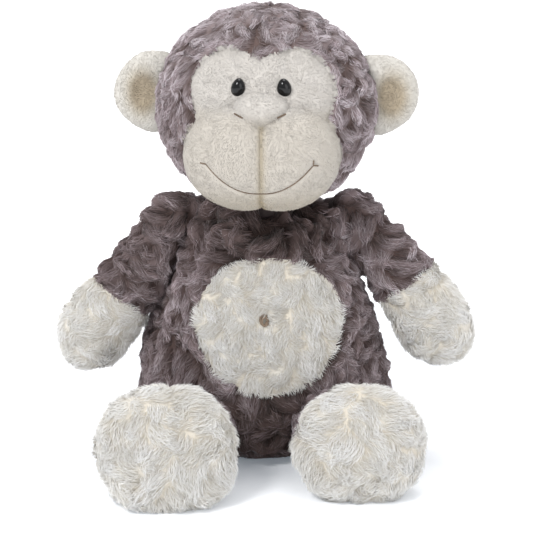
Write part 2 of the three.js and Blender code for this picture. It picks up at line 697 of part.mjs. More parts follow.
// A thin ball shell that turns between a limb's ball and its socket, kept only past a plane
// that lies inward of the pivot.
function capOf(pivot, radius, inward, planeDistance) {
  const shell = cut(ball(pivot, radius + CAP_OUTSIDE), ball(pivot, radius + CAP_INSIDE));
  return common(shell, beyond(pivot.clone().addScaledVector(inward, planeDistance), inward));
}

SIDES.forEach(buildArm);

// ---------------------------------------------------------------- legs
function buildLeg({ name, sign }) {
  const foot = FEET[name];
  const pivot = onSide(sign, HIP);
  const ankle = new THREE.Vector3(foot.x, foot.y, (foot.height + HIP.height) / 2);
  const length = pivot.distanceTo(ankle);
  const line = new THREE.LineCurve3(pivot, ankle);
  const side = [
    [HIP.radius, 0],
    [HIP.radius, length * 0.2],
    [LEG_RADIUS_AT_FOOT, length * 0.75],
    [LEG_RADIUS_AT_FOOT * 0.8, length],
    [0, length + 4],
  ];
  const above = (height) => block([-FAR, -FAR, height], [FAR, FAR, FAR]);
  const legOutside = limb(side, line, 0, FACETS.leg);
  const legInside = limb(side, line, GREY_WALL, FACETS.legInside);
  const footOutside = common(oval(foot, 0, FACETS.foot), above(FOOT_TREAD));
  const footInside = common(oval(foot, -CREAM_WALL, FACETS.footInside), above(FOOT_TREAD + CREAM_WALL));
  const legSkin = cut(legOutside, oval(foot, GAP, FACETS.foot), legInside);
  addPiece(toy, `leg_${name}`, largest(legSkin), COLOURS.grey);

  const footSkin = cut(footOutside, footInside, legInside);
  const seamY = foot.y - foot.halfDepth + SOLE_DEPTH;
  const behindSeam = block([-FAR, seamY + GAP / 2, -FAR], [FAR, FAR, FAR]);
  const beforeSeam = block([-FAR, -FAR, -FAR], [FAR, seamY - GAP / 2, FAR]);
  addPiece(toy, `foot_upper_${name}`, common(footSkin, behindSeam), COLOURS.cream);
  addPiece(toy, `foot_sole_${name}`, common(footSkin, beforeSeam), COLOURS.cream);

  const inset = CREAM_WALL + GAP;
  const footFilling = common(oval(foot, -inset, FACETS.footInside), above(FOOT_TREAD + inset));
  const legFilling = limb(side, line, GREY_WALL + GAP, FACETS.legInside);
  addPiece(toy, `leg_stuffing_${name}`, join(footFilling, legFilling), COLOURS.fibre);

  const cap = capOf(pivot, HIP.radius, new THREE.Vector3(0, 1, 0), HIP_CAP_PLANE);
  addPiece(toy, `hip_gusset_${name}`, cap, COLOURS.greyUnder);
}

SIDES.forEach(buildLeg);

// ---------------------------------------------------------------- tail
function buildTail() {
  const line = new THREE.QuadraticBezierCurve3(tailPivot, onSide(1, TAIL_BEND), onSide(1, TAIL_TIP));
  const outside = limb(TAIL_SIDE, line, 0, FACETS.tail);
  const inside = limb(TAIL_SIDE, line, CREAM_WALL, FACETS.tailInside);
  const filling = limb(TAIL_SIDE, line, CREAM_WALL + GAP, FACETS.tailInside);
  const forward = new THREE.Vector3(0, -1, 0);
  const mouth = beyond(tailPivot.clone().addScaledVector(forward, TAIL_ROOT_CUT), forward);
  addPiece(toy, 'tail', cut(outside, inside, mouth), COLOURS.grey);
  addPiece(toy, 'tail_stuffing', cut(filling, mouth), COLOURS.fibre);
  const cap = capOf(tailPivot, TAIL_ROOT.radius, forward, TAIL_CAP_PLANE);
  addPiece(toy, 'tail_gusset', cap, COLOURS.greyUnder);
}

buildTail();

// The origin lies under the middle of the toy's bounding box, from hands to hands and toes to tail.
const bounds = new THREE.Box3().setFromObject(toy);
toy.position.x = -(bounds.min.x + bounds.max.x) / 2;
toy.position.y = -(bounds.min.y + bounds.max.y) / 2;

export default toy;
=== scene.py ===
"""Looks of a seated plush monkey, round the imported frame: sewn panels, their pile, bead eyes and thread.

The frame is in metres. Everything computed here is in millimetres, in the same axes, and is scaled by MM
when a mesh is made. The toy faces -Y and its own right side is at -X.
"""

import itertools
import json
import math

import bmesh
import bpy
import numpy as np
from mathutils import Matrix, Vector
from mathutils.bvhtree import BVHTree
from mathutils.kdtree import KDTree


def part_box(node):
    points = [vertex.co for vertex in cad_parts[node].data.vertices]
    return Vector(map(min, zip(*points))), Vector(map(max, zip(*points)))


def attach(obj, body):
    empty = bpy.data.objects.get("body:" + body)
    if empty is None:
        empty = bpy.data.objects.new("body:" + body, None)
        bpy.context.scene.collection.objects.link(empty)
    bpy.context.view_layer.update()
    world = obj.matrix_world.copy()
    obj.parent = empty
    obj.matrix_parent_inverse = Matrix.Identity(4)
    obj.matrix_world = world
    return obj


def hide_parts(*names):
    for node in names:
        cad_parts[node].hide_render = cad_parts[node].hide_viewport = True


MM = 0.001
SEED = 11
SIDES = {"right": -1, "left": 1}  # and the sign of each side's X
FRONT_VIEW = np.array([1, 0, 1])  # leaves the depth out

# -------- the camera and the light
CAMERA_DISTANCE = 1000  # from the point that it looks at
CAMERA_ELEVATION = 16  # degrees above the horizon
CAMERA_LENS = 105.5
CAMERA_SENSOR = 36
CAMERA_AIM = (0.5, 9.8, 116)
# In metres and watts, like the rest of the stage.
LIGHT_TARGET = (0, 0, 0.12)
LIGHTS = {
    "key": {"place": (-0.75, -1.0, 1.25), "size": 0.55, "power": 16},
    "fill": {"place": (0.9, -1.1, 0.6), "size": 1.1, "power": 5},
    "top": {"place": (0.15, 0.25, 1.5), "size": 0.9, "power": 9},
}
FLOOR_HALF = 6.0
FLOOR_COLOUR = (0.93, 0.93, 0.94, 1)
FLOOR_GLOW = [(0.22, (0.13, 0.15, 0.17)), (0.6, (0.5, 0.5, 0.5))]  # by the distance from the middle
WORLD_COLOUR = (0.97, 0.98, 1.0, 1)
WORLD_STRENGTH = 0.86

# -------- the stuffed forms
SKIN_THICKNESS = 2.2
FILLING_GAP = 1.0  # between the skin and the stuffing
FILLING_DETAIL = 0.2  # the share of its faces that the stuffing keeps
LOWEST_CLOTH = 0.1  # over the floor
LOWEST_MASS = 0.05
LOWEST_STRAND = 0.03
# Uneven filling: the lumps' size, their height and their seed.
LUMPS = {"torso": (36, 0.8, 51), "head": (45, 0.35, 21), "tail": (30, 0.4, 61)}
OTHER_LUMPS = (29, 0.8, 31)
# The depth and the width of the head's pressed lines.
MUZZLE_DENT = (1.1, 1.8)
NOSE_DENT = (1.0, 2.0)
SMILE_DENT = (0.7, 1.6)
# One form for each body: its voxel size, the passes that round its facets off, and its nodes.


def made_of(voxel, rounding, panels, filling=""):
    return {"voxel": voxel, "rounding": rounding, "panels": panels.split(), "filling": filling.split()}


FORMS = {
    "torso": made_of(
        1.6, 34, "torso_front torso_back_right torso_back_left seat_panel belly_patch", "torso_stuffing"
    ),
    "head": made_of(
        1.4,
        28,
        "hood_right hood_left hood_back face_panel muzzle_right muzzle_left nose_gusset",
        "head_stuffing muzzle_stuffing",
    ),
}
for side in SIDES:
    FORMS[f"ear_{side}"] = made_of(1.1, 10, f"ear_front_{side} ear_back_{side}")
    FORMS[f"arm_{side}"] = made_of(1.4, 32, f"sleeve_{side} hand_{side}", f"arm_stuffing_{side}")
    FORMS[f"leg_{side}"] = made_of(
        1.5, 24, f"leg_{side} foot_upper_{side} foot_sole_{side}", f"leg_stuffing_{side}"
    )
FORMS["tail"] = made_of(1.3, 12, "tail", "tail_stuffing")
GUSSETS = {
    "neck": "neck_gusset",
    "shoulder_right": "shoulder_gusset_right",
    "shoulder_left": "shoulder_gusset_left",
    "hip_right": "hip_gusset_right",
    "hip_left": "hip_gusset_left",
    "tail_root": "tail_gusset",
}
GUSSET_VOXEL = 0.7
GUSSET_ROUNDING = 6
FACE_NODES = ("face_panel", "muzzle_right", "muzzle_left", "nose_gusset")

# -------- the piles
# The pile's mass lies in locks that overlap like shingles, and fine strands cover them.
# lock: the distance between locks, their length, width and height over the pile's base.
# strand: its length, width and how far its tip stands off the mass. per_mm2: strands.
# gather: how far a strand closes in on its lock's middle. swirl: how much the way of the locks wanders.
# spread: how much it differs from lock to lock. stray: how much it differs from strand to strand, in radians.
# overhang: how far past its own panel's edge a strand may reach.
GUIDE_SHARES = np.linspace(0, 1, 5)
LOCK_SHARES = np.linspace(0, 1, 9)
RING_SHARES = np.array([0.0, 0.5, 1.0])
WIDTH_SHAPE = np.array([1.0, 0.85])
LONG_GREY = {
    **{"lock": (7.0, 14.0, 8.8, 6.0), "base": 0.5, "strand": (6.0, 0.62, 1.1), "per_mm2": 1.0},
    **{"gather": 0.35, "swirl": 0.8, "spread": 0.45, "stray": 0.2, "overhang": 2.0},
}
HEAD_GREY = {**LONG_GREY, "lock": (7.0, 16.0, 8.2, 4.2), "swirl": 0.4, "spread": 0.3}
SEAT_GREY = {**LONG_GREY, "lock": (9.0, 14.0, 11.5, 1.4), "strand": (6.0, 0.7, 0.5), "per_mm2": 0.4}
LONG_CREAM = {
    **{"lock": (8.0, 12.0, 12.0, 2.9), "base": 1.7, "strand": (5.0, 0.5, 2.0), "per_mm2": 1.3},
    **{"gather": 0.15, "swirl": 0.9, "spread": 0.6, "stray": 0.36, "overhang": 3.0},
}
SHORT_PLUSH = {
    **{"lock": (6.0, 8.0, 8.0, 0.08), "base": 0.5, "strand": (1.8, 0.3, 0.42), "per_mm2": 1.6},
    **{"gather": 0.0, "swirl": 0.3, "spread": 0.1, "stray": 0.3, "overhang": 0.8},
}
PILE_OF_SLOT = {
    "grey_pile": LONG_GREY,
    "grey_backing": SEAT_GREY,
    "cream_pile": LONG_CREAM,
    "face_plush": SHORT_PLUSH,
    "ear_plush": SHORT_PLUSH,
}
MOST_STRANDS = 18000  # in one piece
FIRST_PILE_SEED = 101
FLOOR_CLEARANCE = 0.15
FLOOR_PUSH = 0.9  # how far a strand goes outward for each millimetre that it would sink into the floor
# Locks differ in width, length and height between these shares of their style's.
LOCK_WIDTHS = (0.75, 1.2)
LOCK_LENGTHS = (0.75, 1.25)
LOCK_HEIGHTS = (0.55, 1.0)
LOCK_TINTS = 0.12  # the spread of the locks' own tints
FULL_LOCK_TINTS = 0.17  # the strands' contrast at which the locks' own tints count in full
LOCK_CURL = 0.3  # the spread of the curl from one guide share to the next, in radians
LOCK_WIDEST = 0.55  # the share of its length at which a lock is widest
LOCK_TAPER = 0.62  # the share of its length over which it narrows to nothing
LOCK_ROOT_HEIGHT = 0.3  # at its root, as a share of its height
SAMPLES_NEARBY = 14  # lock samples that are compared to find the one on top
TUFTS_TRIED = 6  # places tried for each spacing squared
TUFT_GAP = 0.85  # the least distance between two tufts, as a share of the spacing
# Strands differ in length, width and lift between these shares of their style's.
STRAND_LENGTHS = (0.65, 1.2)
STRAND_WIDTHS = (0.75, 1.25)
STRAND_LIFTS = (0.3, 1.7)
STRAND_CORNERS = 3
STRAND_FLATNESS = 0.75
CORNER_TINT = 0.012  # how much the tint differs between a strand's corners
ROOT_SINK = 0.3  # how deep a strand starts in the mass
ROOT_DEPTH = 0.3  # where a strand's colour starts, from the root's (0) to the tip's (1)
HEIGHT_KEPT = 0.6  # the share of its root's height that a strand keeps over a crease
SHORTEST_STRAND = 0.16  # the share that is left where a strand would run over another colour
# How each colour is shaded. contrast: the spread of its strands' tints. crease: painted shade, how far the strands
# in a crease are darkened, and the gain on the lock's height before it counts as full. mass: where the pile's mass
# starts, from the root's colour (0) to the tip's (1); a low start is painted shade under the strands.
SHADING = {
    "grey_pile": {"contrast": 0.19, "crease": (0.75, 1.25), "mass": 0.08},
    "cream_pile": {"contrast": 0.14, "crease": (0.3, 1.5), "mass": 0.1},
    "face_plush": {"contrast": 0.04, "crease": (0.0, 1.0), "mass": 0.8},
}
UNDERTONE_AND_SHADE_DARKENING = 0.4  # how far the warm undertone and the painted shade darken the grey
MASS_SHADE = 0.1  # painted shade: how far the mass's tint is under its strands'
MASS_CREST = 0.35  # how much lighter the mass is on a lock's crest, with painted shade in the troughs between locks
TINT_LIMITS = (0.02, 0.98)
# Where no strand grows: round the eyes in eye sizes, near the stitches and the muzzle's seam, and the button.
EYE_CLEARANCE = 1.12
STITCH_WIDTH = 0.9
STITCH_BARE = 0.35
SEAM_WIDTH = 0.7
SEAM_THINNED = (0.2, 1.0)
BUTTON_CLEARANCE = 4.2

# -------- eyes and thread
EYE_GRID = (32, 20)  # points around a bead and down it
EYE_GROWTH = (1.1, 1.08)  # the bead's width and height over the CAD dome's
EYE_HALF_DEPTH = 4.0
EYE_TAPER = 0.16  # how much narrower a bead is at the top, and wider at the bottom
EYE_TILT = 8  # degrees that its top leans inward
EYE_PROUD = 1.1  # how far the bead's middle stands in front of the cloth
SMILE_TICK = 3.4  # the room for the smile's end stitches
SMILE_CURVE = 2.1  # the power of the bow
STITCH_MARGIN = 0.9  # from the CAD stitch's box to the thread's middle
NOSTRIL_TRIM = 0.14  # the share cut from each end of a nostril's stitch
NOSE_CORNER = 0.62  # the height of the nose's corners, as a share of its gusset's
# Each thread's radius and how far its middle stands off the cloth.
SMILE_THREAD = (0.36, 0.75)
TICK_THREAD = (0.42, 0.8)
NOSTRIL_THREAD = (0.52, 0.85)
FINE_STEP = 0.3
END_STITCHES = ([(-3.2, 0.4)], [(0.2, 3.0), (3.0, -0.4)])  # at the smile's two corners, across and up
YARN_RADIUS = 0.75
YARN_STEPS = 40
YARN_TURN = 0.97  # of a full turn
YARN_OVAL = (0.85, 1.2)  # the loops' width and height over their radius
YARN_STAND = (2.0, 0.8)  # the first loop's stand off the cloth, and the next one's more
YARN_LOOPS = ((2.5, 0.0, 0.0), (2.1, 0.7, -0.9))  # radius, and how far the middle is moved across and up
PLY_DEPTH = 0.16  # of a thread's radius

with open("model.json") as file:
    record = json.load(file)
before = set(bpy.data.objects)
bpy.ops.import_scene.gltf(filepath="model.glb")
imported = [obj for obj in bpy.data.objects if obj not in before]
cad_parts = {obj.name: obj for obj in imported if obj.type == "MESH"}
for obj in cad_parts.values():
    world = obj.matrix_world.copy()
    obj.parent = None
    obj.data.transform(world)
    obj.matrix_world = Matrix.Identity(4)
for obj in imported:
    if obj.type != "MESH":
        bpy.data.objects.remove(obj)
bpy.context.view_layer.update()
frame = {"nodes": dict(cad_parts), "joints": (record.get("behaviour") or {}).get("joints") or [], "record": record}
slot_of = {part["node"]: part["material_slot"] for part in frame["record"]["subparts"]}
joints = {joint["name"]: joint for joint in frame["joints"]}


# -------- measures of the frame
def box(*nodes):
    """The lowest and highest corners of some CAD nodes together."""
    corners = [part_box(node) for node in nodes]
    low = np.min([np.array(low) for low, _ in corners], axis=0) / MM
    high = np.max([np.array(high) for _, high in corners], axis=0) / MM
    return low, high


def middle(*nodes):
    low, high = box(*nodes)
    return (low + high) / 2


def pivot(joint):
    return np.array(joints[joint]["pos_m"]) / MM


# -------- smooth random fields
WAVES_IN_FIELD = 7
PITCHES = (0.65, 1.5)  # of the wavelength
FIELD_SCALE = 0.6  # keeps nearly every value between -1 and 1


def waves(points, wavelength, seed):
    """A smooth value at each point, about -1 to 1, that wanders over the given wavelength."""
    draw = np.random.default_rng(SEED + seed)
    total = np.zeros(len(points))
    for _ in range(WAVES_IN_FIELD):
        way = draw.normal(size=3)
        way /= np.linalg.norm(way)
        pitch = wavelength * draw.uniform(*PITCHES)
        total += np.sin(points @ way * (2 * math.pi / pitch) + draw.uniform(0, 2 * math.pi))
    return total * math.sqrt(2 / WAVES_IN_FIELD) * FIELD_SCALE


def unit(vectors):
    length = np.linalg.norm(vectors, axis=-1, keepdims=True)
    return vectors / np.maximum(length, 1e-9)


def along_surface(vectors, normals):
    """The vectors without their part along the normals, at length 1."""
    return unit(vectors - np.sum(vectors * normals, axis=-1, keepdims=True) * normals)


def turned(vectors, normals, angles):
    """Vectors that lie on a surface, turned about its normals."""
    across = np.cross(normals, vectors)
    return vectors * np.cos(angles)[..., None] + across * np.sin(angles)[..., None]


def smooth_step(low, high, values):
    share = np.clip((values - low) / (high - low), 0, 1)
    return share * share * (3 - 2 * share)


def off_middle(points, centre, half=(1, 1, 1)):
    """How far the points are from a centre in front view, in the given half sizes."""
    return np.hypot((points[:, 0] - centre[0]) / half[0], (points[:, 2] - centre[2]) / half[2])


def style_of(panel):
    return HEAD_GREY if panel.startswith("hood") else PILE_OF_SLOT[slot_of[panel]]


def colour_group(slot):
    """Slots whose piles may run over each other."""
    return {"grey_backing": "grey_pile", "ear_plush": "face_plush"}.get(slot, slot)


def group_of(panel):
    return colour_group(slot_of[panel])


# -------- meshes
def linked(name, data):
    """A new object in the scene that holds this data."""
    made = bpy.data.objects.new(name, data)
    bpy.context.scene.collection.objects.link(made)
    return made


def mesh_object(name, points, faces, smooth=True):
    """A mesh object from points in millimetres."""
    mesh = bpy.data.meshes.new(name)
    mesh.from_pydata((np.asarray(points) * MM).tolist(), [], [list(map(int, face)) for face in faces])
    if smooth:
        mesh.polygons.foreach_set("use_smooth", np.ones(len(mesh.polygons), bool))
    mesh.update()
    return linked(name, mesh)


def copies(name, nodes):
    """One new object that holds copies of some CAD nodes' meshes."""
    joined = bmesh.new()
    for node in nodes:
        joined.from_mesh(frame["nodes"][node].data)
    mesh = bpy.data.meshes.new(name)
    joined.to_mesh(mesh)
    joined.free()
    return linked(name, mesh)


def modified(made, *settings):
    """Adds modifiers to an object and applies them."""
    for kind, values in settings:
        modifier = made.modifiers.new(kind.lower(), kind)
        for key, value in values.items():
            setattr(modifier, key, value)
    graph = bpy.context.evaluated_depsgraph_get()
    mesh = bpy.data.meshes.new_from_object(made.evaluated_get(graph))
    made.modifiers.clear()
    made.data = mesh
    return made


def points_of(made):
    points = np.empty(len(made.data.vertices) * 3)
    made.data.vertices.foreach_get("co", points)
    return points.reshape(-1, 3) / MM


def set_points(made, points):
    made.data.vertices.foreach_set("co", (points * MM).ravel())
    made.data.update()


def normals_of(made):
    normals = np.empty(len(made.data.vertices) * 3, np.float32)
    made.data.vertex_normals.foreach_get("vector", normals)
    return normals.reshape(-1, 3).astype(float)


def keep_biggest_shell(made):
    """Drops every loose part but the biggest, such as a pocket left inside by the remesh."""
    solid = bmesh.new()
    solid.from_mesh(made.data)
    unseen = set(solid.verts)
    shells = []
    while unseen:
        start = unseen.pop()
        shell, edge = {start}, [start]
        while edge:
            vertex = edge.pop()
            for link in vertex.link_edges:
                other = link.other_vert(vertex)
                if other in unseen:
                    unseen.discard(other)
                    shell.add(other)
                    edge.append(other)
        shells.append(shell)
    biggest = max(shells, key=len)
    extra = [vertex for shell in shells if shell is not biggest for vertex in shell]
    bmesh.ops.delete(solid, geom=extra, context="VERTS")
    solid.to_mesh(made.data)
    solid.free()
    return made


# -------- one stuffed form
class Form:
    """A body's smooth outer surface, and the sewn panel that each of its faces belongs to."""

    def __init__(self, body, voxel, rounding, panels, filling):
        self.body = body
        self.panels = panels
        self.filling = filling
        self.object = copies(f"{body}_form", panels + filling)
        modified(
            self.object,
            ("REMESH", {"mode": "VOXEL", "voxel_size": voxel * MM}),
            ("SMOOTH", {"factor": 0.5, "iterations": rounding}),
        )
        keep_biggest_shell(self.object)
        points = points_of(self.object)
        points += normals_of(self.object) * dents(body, points)[:, None]
        points[:, 2] = np.maximum(points[:, 2], LOWEST_CLOTH)
        set_points(self.object, points)
        self.measure()
        self.raise_pile()

    def measure(self):
        """Reads the surface, after it was moulded."""
        mesh = self.object.data
        self.points = points_of(self.object)
        self.mass = self.points
        self.normals = normals_of(self.object)
        self.faces = [tuple(face.vertices) for face in mesh.polygons]
        self.tree = BVHTree.FromPolygons(self.points.tolist(), self.faces)
        self.middles = np.array([np.mean(self.points[list(face)], axis=0) for face in self.faces])
        nearest = []
        for panel in self.panels:
            node = frame["nodes"][panel]
            points = points_of(node)
            faces = [tuple(face.vertices) for face in node.data.polygons]
            tree = BVHTree.FromPolygons(points.tolist(), faces)
            nearest.append([tree.find_nearest(place)[3] for place in self.middles.tolist()])
        self.panel_of_face = np.argmin(nearest, axis=0)
        self.group_of_face = np.array([group_of(self.panels[i]) for i in self.panel_of_face])

    def raise_pile(self):
        """Lays the locks, and finds how high the pile's mass stands and which lock is on top."""
        self.locks = {}
        self.heights = np.zeros(len(self.points))
        self.crests = np.zeros(len(self.points))
        self.crest_of_face = np.zeros(len(self.faces))
        self.lock_of_face = np.zeros(len(self.faces), int)
        corner_face = np.zeros(len(self.points), int)
        for index, face in enumerate(self.faces):
            corner_face[list(face)] = index
        panel_of_point = self.panel_of_face[corner_face]
        for group in sorted(set(self.group_of_face)):
            panels = [panel for panel in self.panels if group_of(panel) == group]
            locks = Locks(self, panels, group)
            self.locks[group] = locks
            chosen = np.flatnonzero(self.group_of_face[corner_face] == group)
            bump, _ = locks.at(self.points[chosen])
            styles = [style_of(self.panels[i]) for i in panel_of_point[chosen]]
            tall = np.array([style["lock"][3] for style in styles])
            base = np.array([style["base"] for style in styles])
            self.crests[chosen] = bump
            self.heights[chosen] = base + bump * tall
            own = np.flatnonzero(self.group_of_face == group)
            self.crest_of_face[own], self.lock_of_face[own] = locks.at(self.middles[own])
        self.heights *= fullness(self.body, self.points)
        self.mass = self.points + self.normals * self.heights[:, None]
        self.mass[:, 2] = np.maximum(self.mass[:, 2], LOWEST_MASS)
        self.height_of_face = np.array([np.mean(self.heights[list(face)]) for face in self.faces])

    def nearest(self, points):
        """For each point, the closest place on the surface, the normal there, and the face."""
        find = self.tree.find_nearest
        found = [find(point) for point in points.tolist()]
        places = np.array([place[:] for place, _, _, _ in found])
        normals = np.array([normal[:] for _, normal, _, _ in found])
        faces = np.array([face for _, _, face, _ in found])
        return places, normals, faces

    def in_front(self, x, z):
        """The surface's point in front of the toy's middle at this place in front view."""
        place = self.tree.ray_cast(Vector((x, -1000, z)), Vector((0, 1, 0)))[0]
        return np.array(place[:])

    def roots(self, panel, per_mm2, draw):
        """Places spread evenly at random over one panel: on the cloth, on the mass, and their faces."""
        chosen = np.flatnonzero(self.panel_of_face == self.panels.index(panel))
        triangles, owners = [], []
        for i in chosen:
            face = self.faces[i]
            for k in range(1, len(face) - 1):
                triangles.append((face[0], face[k], face[k + 1]))
                owners.append(i)
        triangles, owners = np.array(triangles), np.array(owners)
        a, b, c = (self.points[triangles[:, k]] for k in range(3))
        area = np.linalg.norm(np.cross(b - a, c - a), axis=1) / 2
        count = int(area.sum() * per_mm2)
        steps = (np.arange(count) + draw.uniform(size=count)) / count * area.sum()
        pick = np.minimum(np.searchsorted(np.cumsum(area), steps), len(area) - 1)
        s, t = draw.uniform(size=(2, count))
        outside = s + t > 1
        s[outside], t[outside] = 1 - s[outside], 1 - t[outside]
        shares = np.stack([1 - s - t, s, t], axis=1)[:, :, None]
        corners = triangles[pick]
        on_cloth, on_mass = ((surface[corners] * shares).sum(axis=1) for surface in (self.points, self.mass))
        return on_cloth, on_mass, owners[pick]


class Locks:
    """The locks of one colour on a form."""

    def __init__(self, form, panels, group):
        draw = np.random.default_rng(SEED + sum(map(ord, form.body + group)))
        lines, widths = [], []
        for panel in panels:
            style = style_of(panel)
            tufts = tuft_middles(form, panel, style["lock"][0], draw)
            lines.append(guide_lines(form, panel, tufts, style, draw))
            widths.append(np.full(len(tufts), style["lock"][2] / 2))
        lines = np.concatenate(lines, axis=1)
        count = lines.shape[1]
        self.widths = np.concatenate(widths) * draw.uniform(*LOCK_WIDTHS, count)
        self.heights = draw.uniform(*LOCK_HEIGHTS, count)
        self.tints = draw.normal(0, LOCK_TINTS, count)
        samples = [
            [np.interp(LOCK_SHARES, GUIDE_SHARES, lines[:, lock, axis]) for axis in range(3)]
            for lock in range(count)
        ]
        self.samples = np.array(samples).transpose(2, 0, 1)
        self.ways = unit(np.gradient(self.samples, axis=0))
        self.finder = KDTree(self.samples.shape[0] * count)
        for i, place in enumerate(self.samples.reshape(-1, 3).tolist()):
            self.finder.insert(place, i)
        self.finder.balance()

    def at(self, points):
        """How high the locks stand at each point, 0 to 1, and the sample that is on top there."""
        find = self.finder.find_n
        found = [find(point, SAMPLES_NEARBY) for point in points.tolist()]
        index = np.array([[hit[1] for hit in row] for row in found])
        far = np.array([[hit[2] for hit in row] for row in found])
        count = self.samples.shape[1]
        share = LOCK_SHARES[index // count]
        lock = index % count
        width = self.widths[lock] * np.sqrt(1 - ((share - LOCK_WIDEST) / LOCK_TAPER) ** 2)
        dome = np.sqrt(np.clip(1 - (far / width) ** 2, 0, 1))
        rise = LOCK_ROOT_HEIGHT + (1 - LOCK_ROOT_HEIGHT) * share
        height = self.heights[lock] * rise * dome
        best = np.argmax(height, axis=1)
        rows = np.arange(len(points))
        return height[rows, best], index[rows, best]


# -------- moulding of the forms
def near_path(points, path, width):
    """1 on a path in front view, and down to 0 away from it."""
    points = points * FRONT_VIEW
    path = np.array(path, float)
    nearest = np.full(len(points), np.inf)
    for start, end in zip(path[:-1], path[1:]):
        run = end - start
        share = np.clip((points - start) @ run / (run @ run), 0, 1)
        nearest = np.minimum(nearest, np.linalg.norm(points - start - share[:, None] * run, axis=1))
    return np.exp(-((nearest / width) ** 2))


def dents(body, points):
    """How far a form's surface moves along its normals: uneven filling, and the head's pressed lines."""
    size, height, seed = LUMPS.get(body.split("_")[0], OTHER_LUMPS)
    moved = height * waves(points, size, seed)
    return moved + seams_of_head(points) if body == "head" else moved


def seams_of_head(points):
    front = smooth_step(0.0, -30.0, points[:, 1])
    lines = ((muzzle_seam(), MUZZLE_DENT), (nose_seam(), NOSE_DENT), (smile_path(), SMILE_DENT))
    deep = [depth * near_path(points, path, width) for path, (depth, width) in lines]
    return -np.max(deep, axis=0) * front


# -------- the way that each pile lies
def flow(panel, points):
    """The way that the pile lies at each point; it need not be along the surface yet."""
    down = np.array([0.0, 0.0, -1.0])
    side = panel.rsplit("_", 1)[-1]
    if panel.startswith("hood"):
        # Away from a crown a little behind the head's middle, and drooping.
        low, high = box("hood_right", "hood_left", "hood_back")
        crown = np.array([(low[0] + high[0]) / 2, (low[1] + high[1]) / 2 + 6, high[2]])
        return unit(points - crown) + 0.25 * down
    if panel in FACE_NODES:
        return unit(points - middle("nose_gusset")) + 0.3 * down
    if panel.startswith("ear"):
        return unit(points - pivot(f"ear_fold_{side}"))
    if panel.startswith(("sleeve", "hand")):
        shoulder, hand = pivot(f"arm_swing_{side}"), middle(f"hand_{side}")
        return np.tile(unit(hand - shoulder), (len(points), 1))
    if panel.startswith("leg"):
        return np.tile(unit(middle(f"foot_sole_{side}") - pivot(f"leg_swing_{side}")), (len(points), 1))
    if panel.startswith("foot"):
        # Mostly down, and a little away from a whorl 14 mm over the foot's middle.
        whorl = middle(f"foot_upper_{side}", f"foot_sole_{side}") + np.array([0, 0, 14])
        return unit(points - whorl) * np.array([0.6, 0.2, 0.5]) + 0.8 * down
    if panel == "tail":
        # Back from the root, and round to the side as the tail curls.
        low, high = box("tail")
        share = np.clip((points[:, 1] - low[1]) / (high[1] - low[1]), 0, 1)
        return np.stack([share**2, 1 - share**2, np.zeros(len(points))], axis=1)
    return np.tile(down, (len(points), 1))


def kept(panel, points, draw):
    """Which roots grow a strand: none under the eyes, the stitches or the button."""
    keep = np.ones(len(points), bool)
    if panel in FACE_NODES:
        for side in SIDES:
            low, high = box(f"eye_{side}")
            centre, half = (low + high) / 2, (high - low) / 2
            off = off_middle(points, centre, half)
            keep &= (off > EYE_CLEARANCE) | (points[:, 1] > centre[1] + half[1])
        for path in (smile_path(), *nostril_paths()):
            keep &= near_path(points, path, STITCH_WIDTH) < STITCH_BARE
        keep &= near_path(points, muzzle_seam(), SEAM_WIDTH) < draw.uniform(*SEAM_THINNED, len(points))
    if panel == "belly_patch":
        keep &= off_middle(points, middle("belly_button")) > BUTTON_CLEARANCE
    return keep


# -------- lines on the face, in front view
def smile_path(count=33):
    """The smile: a bow between its two corners, inside the box of the CAD stitch."""
    low, high = box("mouth_stitch")
    half = (high[0] - low[0]) / 2 - SMILE_TICK
    centre = (high[0] + low[0]) / 2
    bottom, top = low[2] + STITCH_MARGIN, high[2] - SMILE_TICK
    share = np.linspace(-1, 1, count)
    xs = centre + half * share
    zs = bottom + (top - bottom) * np.abs(share) ** SMILE_CURVE
    return [(x, 0, z) for x, z in zip(xs, zs)]


def nostril_paths():
    """A straight stitch for each nostril, lower at its inner end."""
    paths = []
    for side, sign in SIDES.items():
        low, high = box(f"nostril_stitch_{side}")
        inner = np.array((low[0] if sign > 0 else high[0], 0, low[2] + STITCH_MARGIN))
        outer = np.array((high[0] if sign > 0 else low[0], 0, high[2] - STITCH_MARGIN))
        trim = (outer - inner) * NOSTRIL_TRIM
        paths.append([inner + trim, outer - trim])
    return paths


def muzzle_middle():
    """The X at which the muzzle's halves meet."""
    return (box("muzzle_right")[1][0] + box("muzzle_left")[0][0]) / 2


def muzzle_seam():
    """The seam down the middle of the muzzle, from the nose's tip."""
    x = muzzle_middle()
    return [(x, 0, box(node_name)[0][2]) for node_name in ("nose_gusset", "muzzle_right")]


def nose_seam():
    """The two seams that run from the nose's tip up to its corners."""
    low, high = box("nose_gusset")
    corner = low[2] + NOSE_CORNER * (high[2] - low[2])
    return [(low[0], 0, corner), (muzzle_middle(), 0, low[2]), (high[0], 0, corner)]


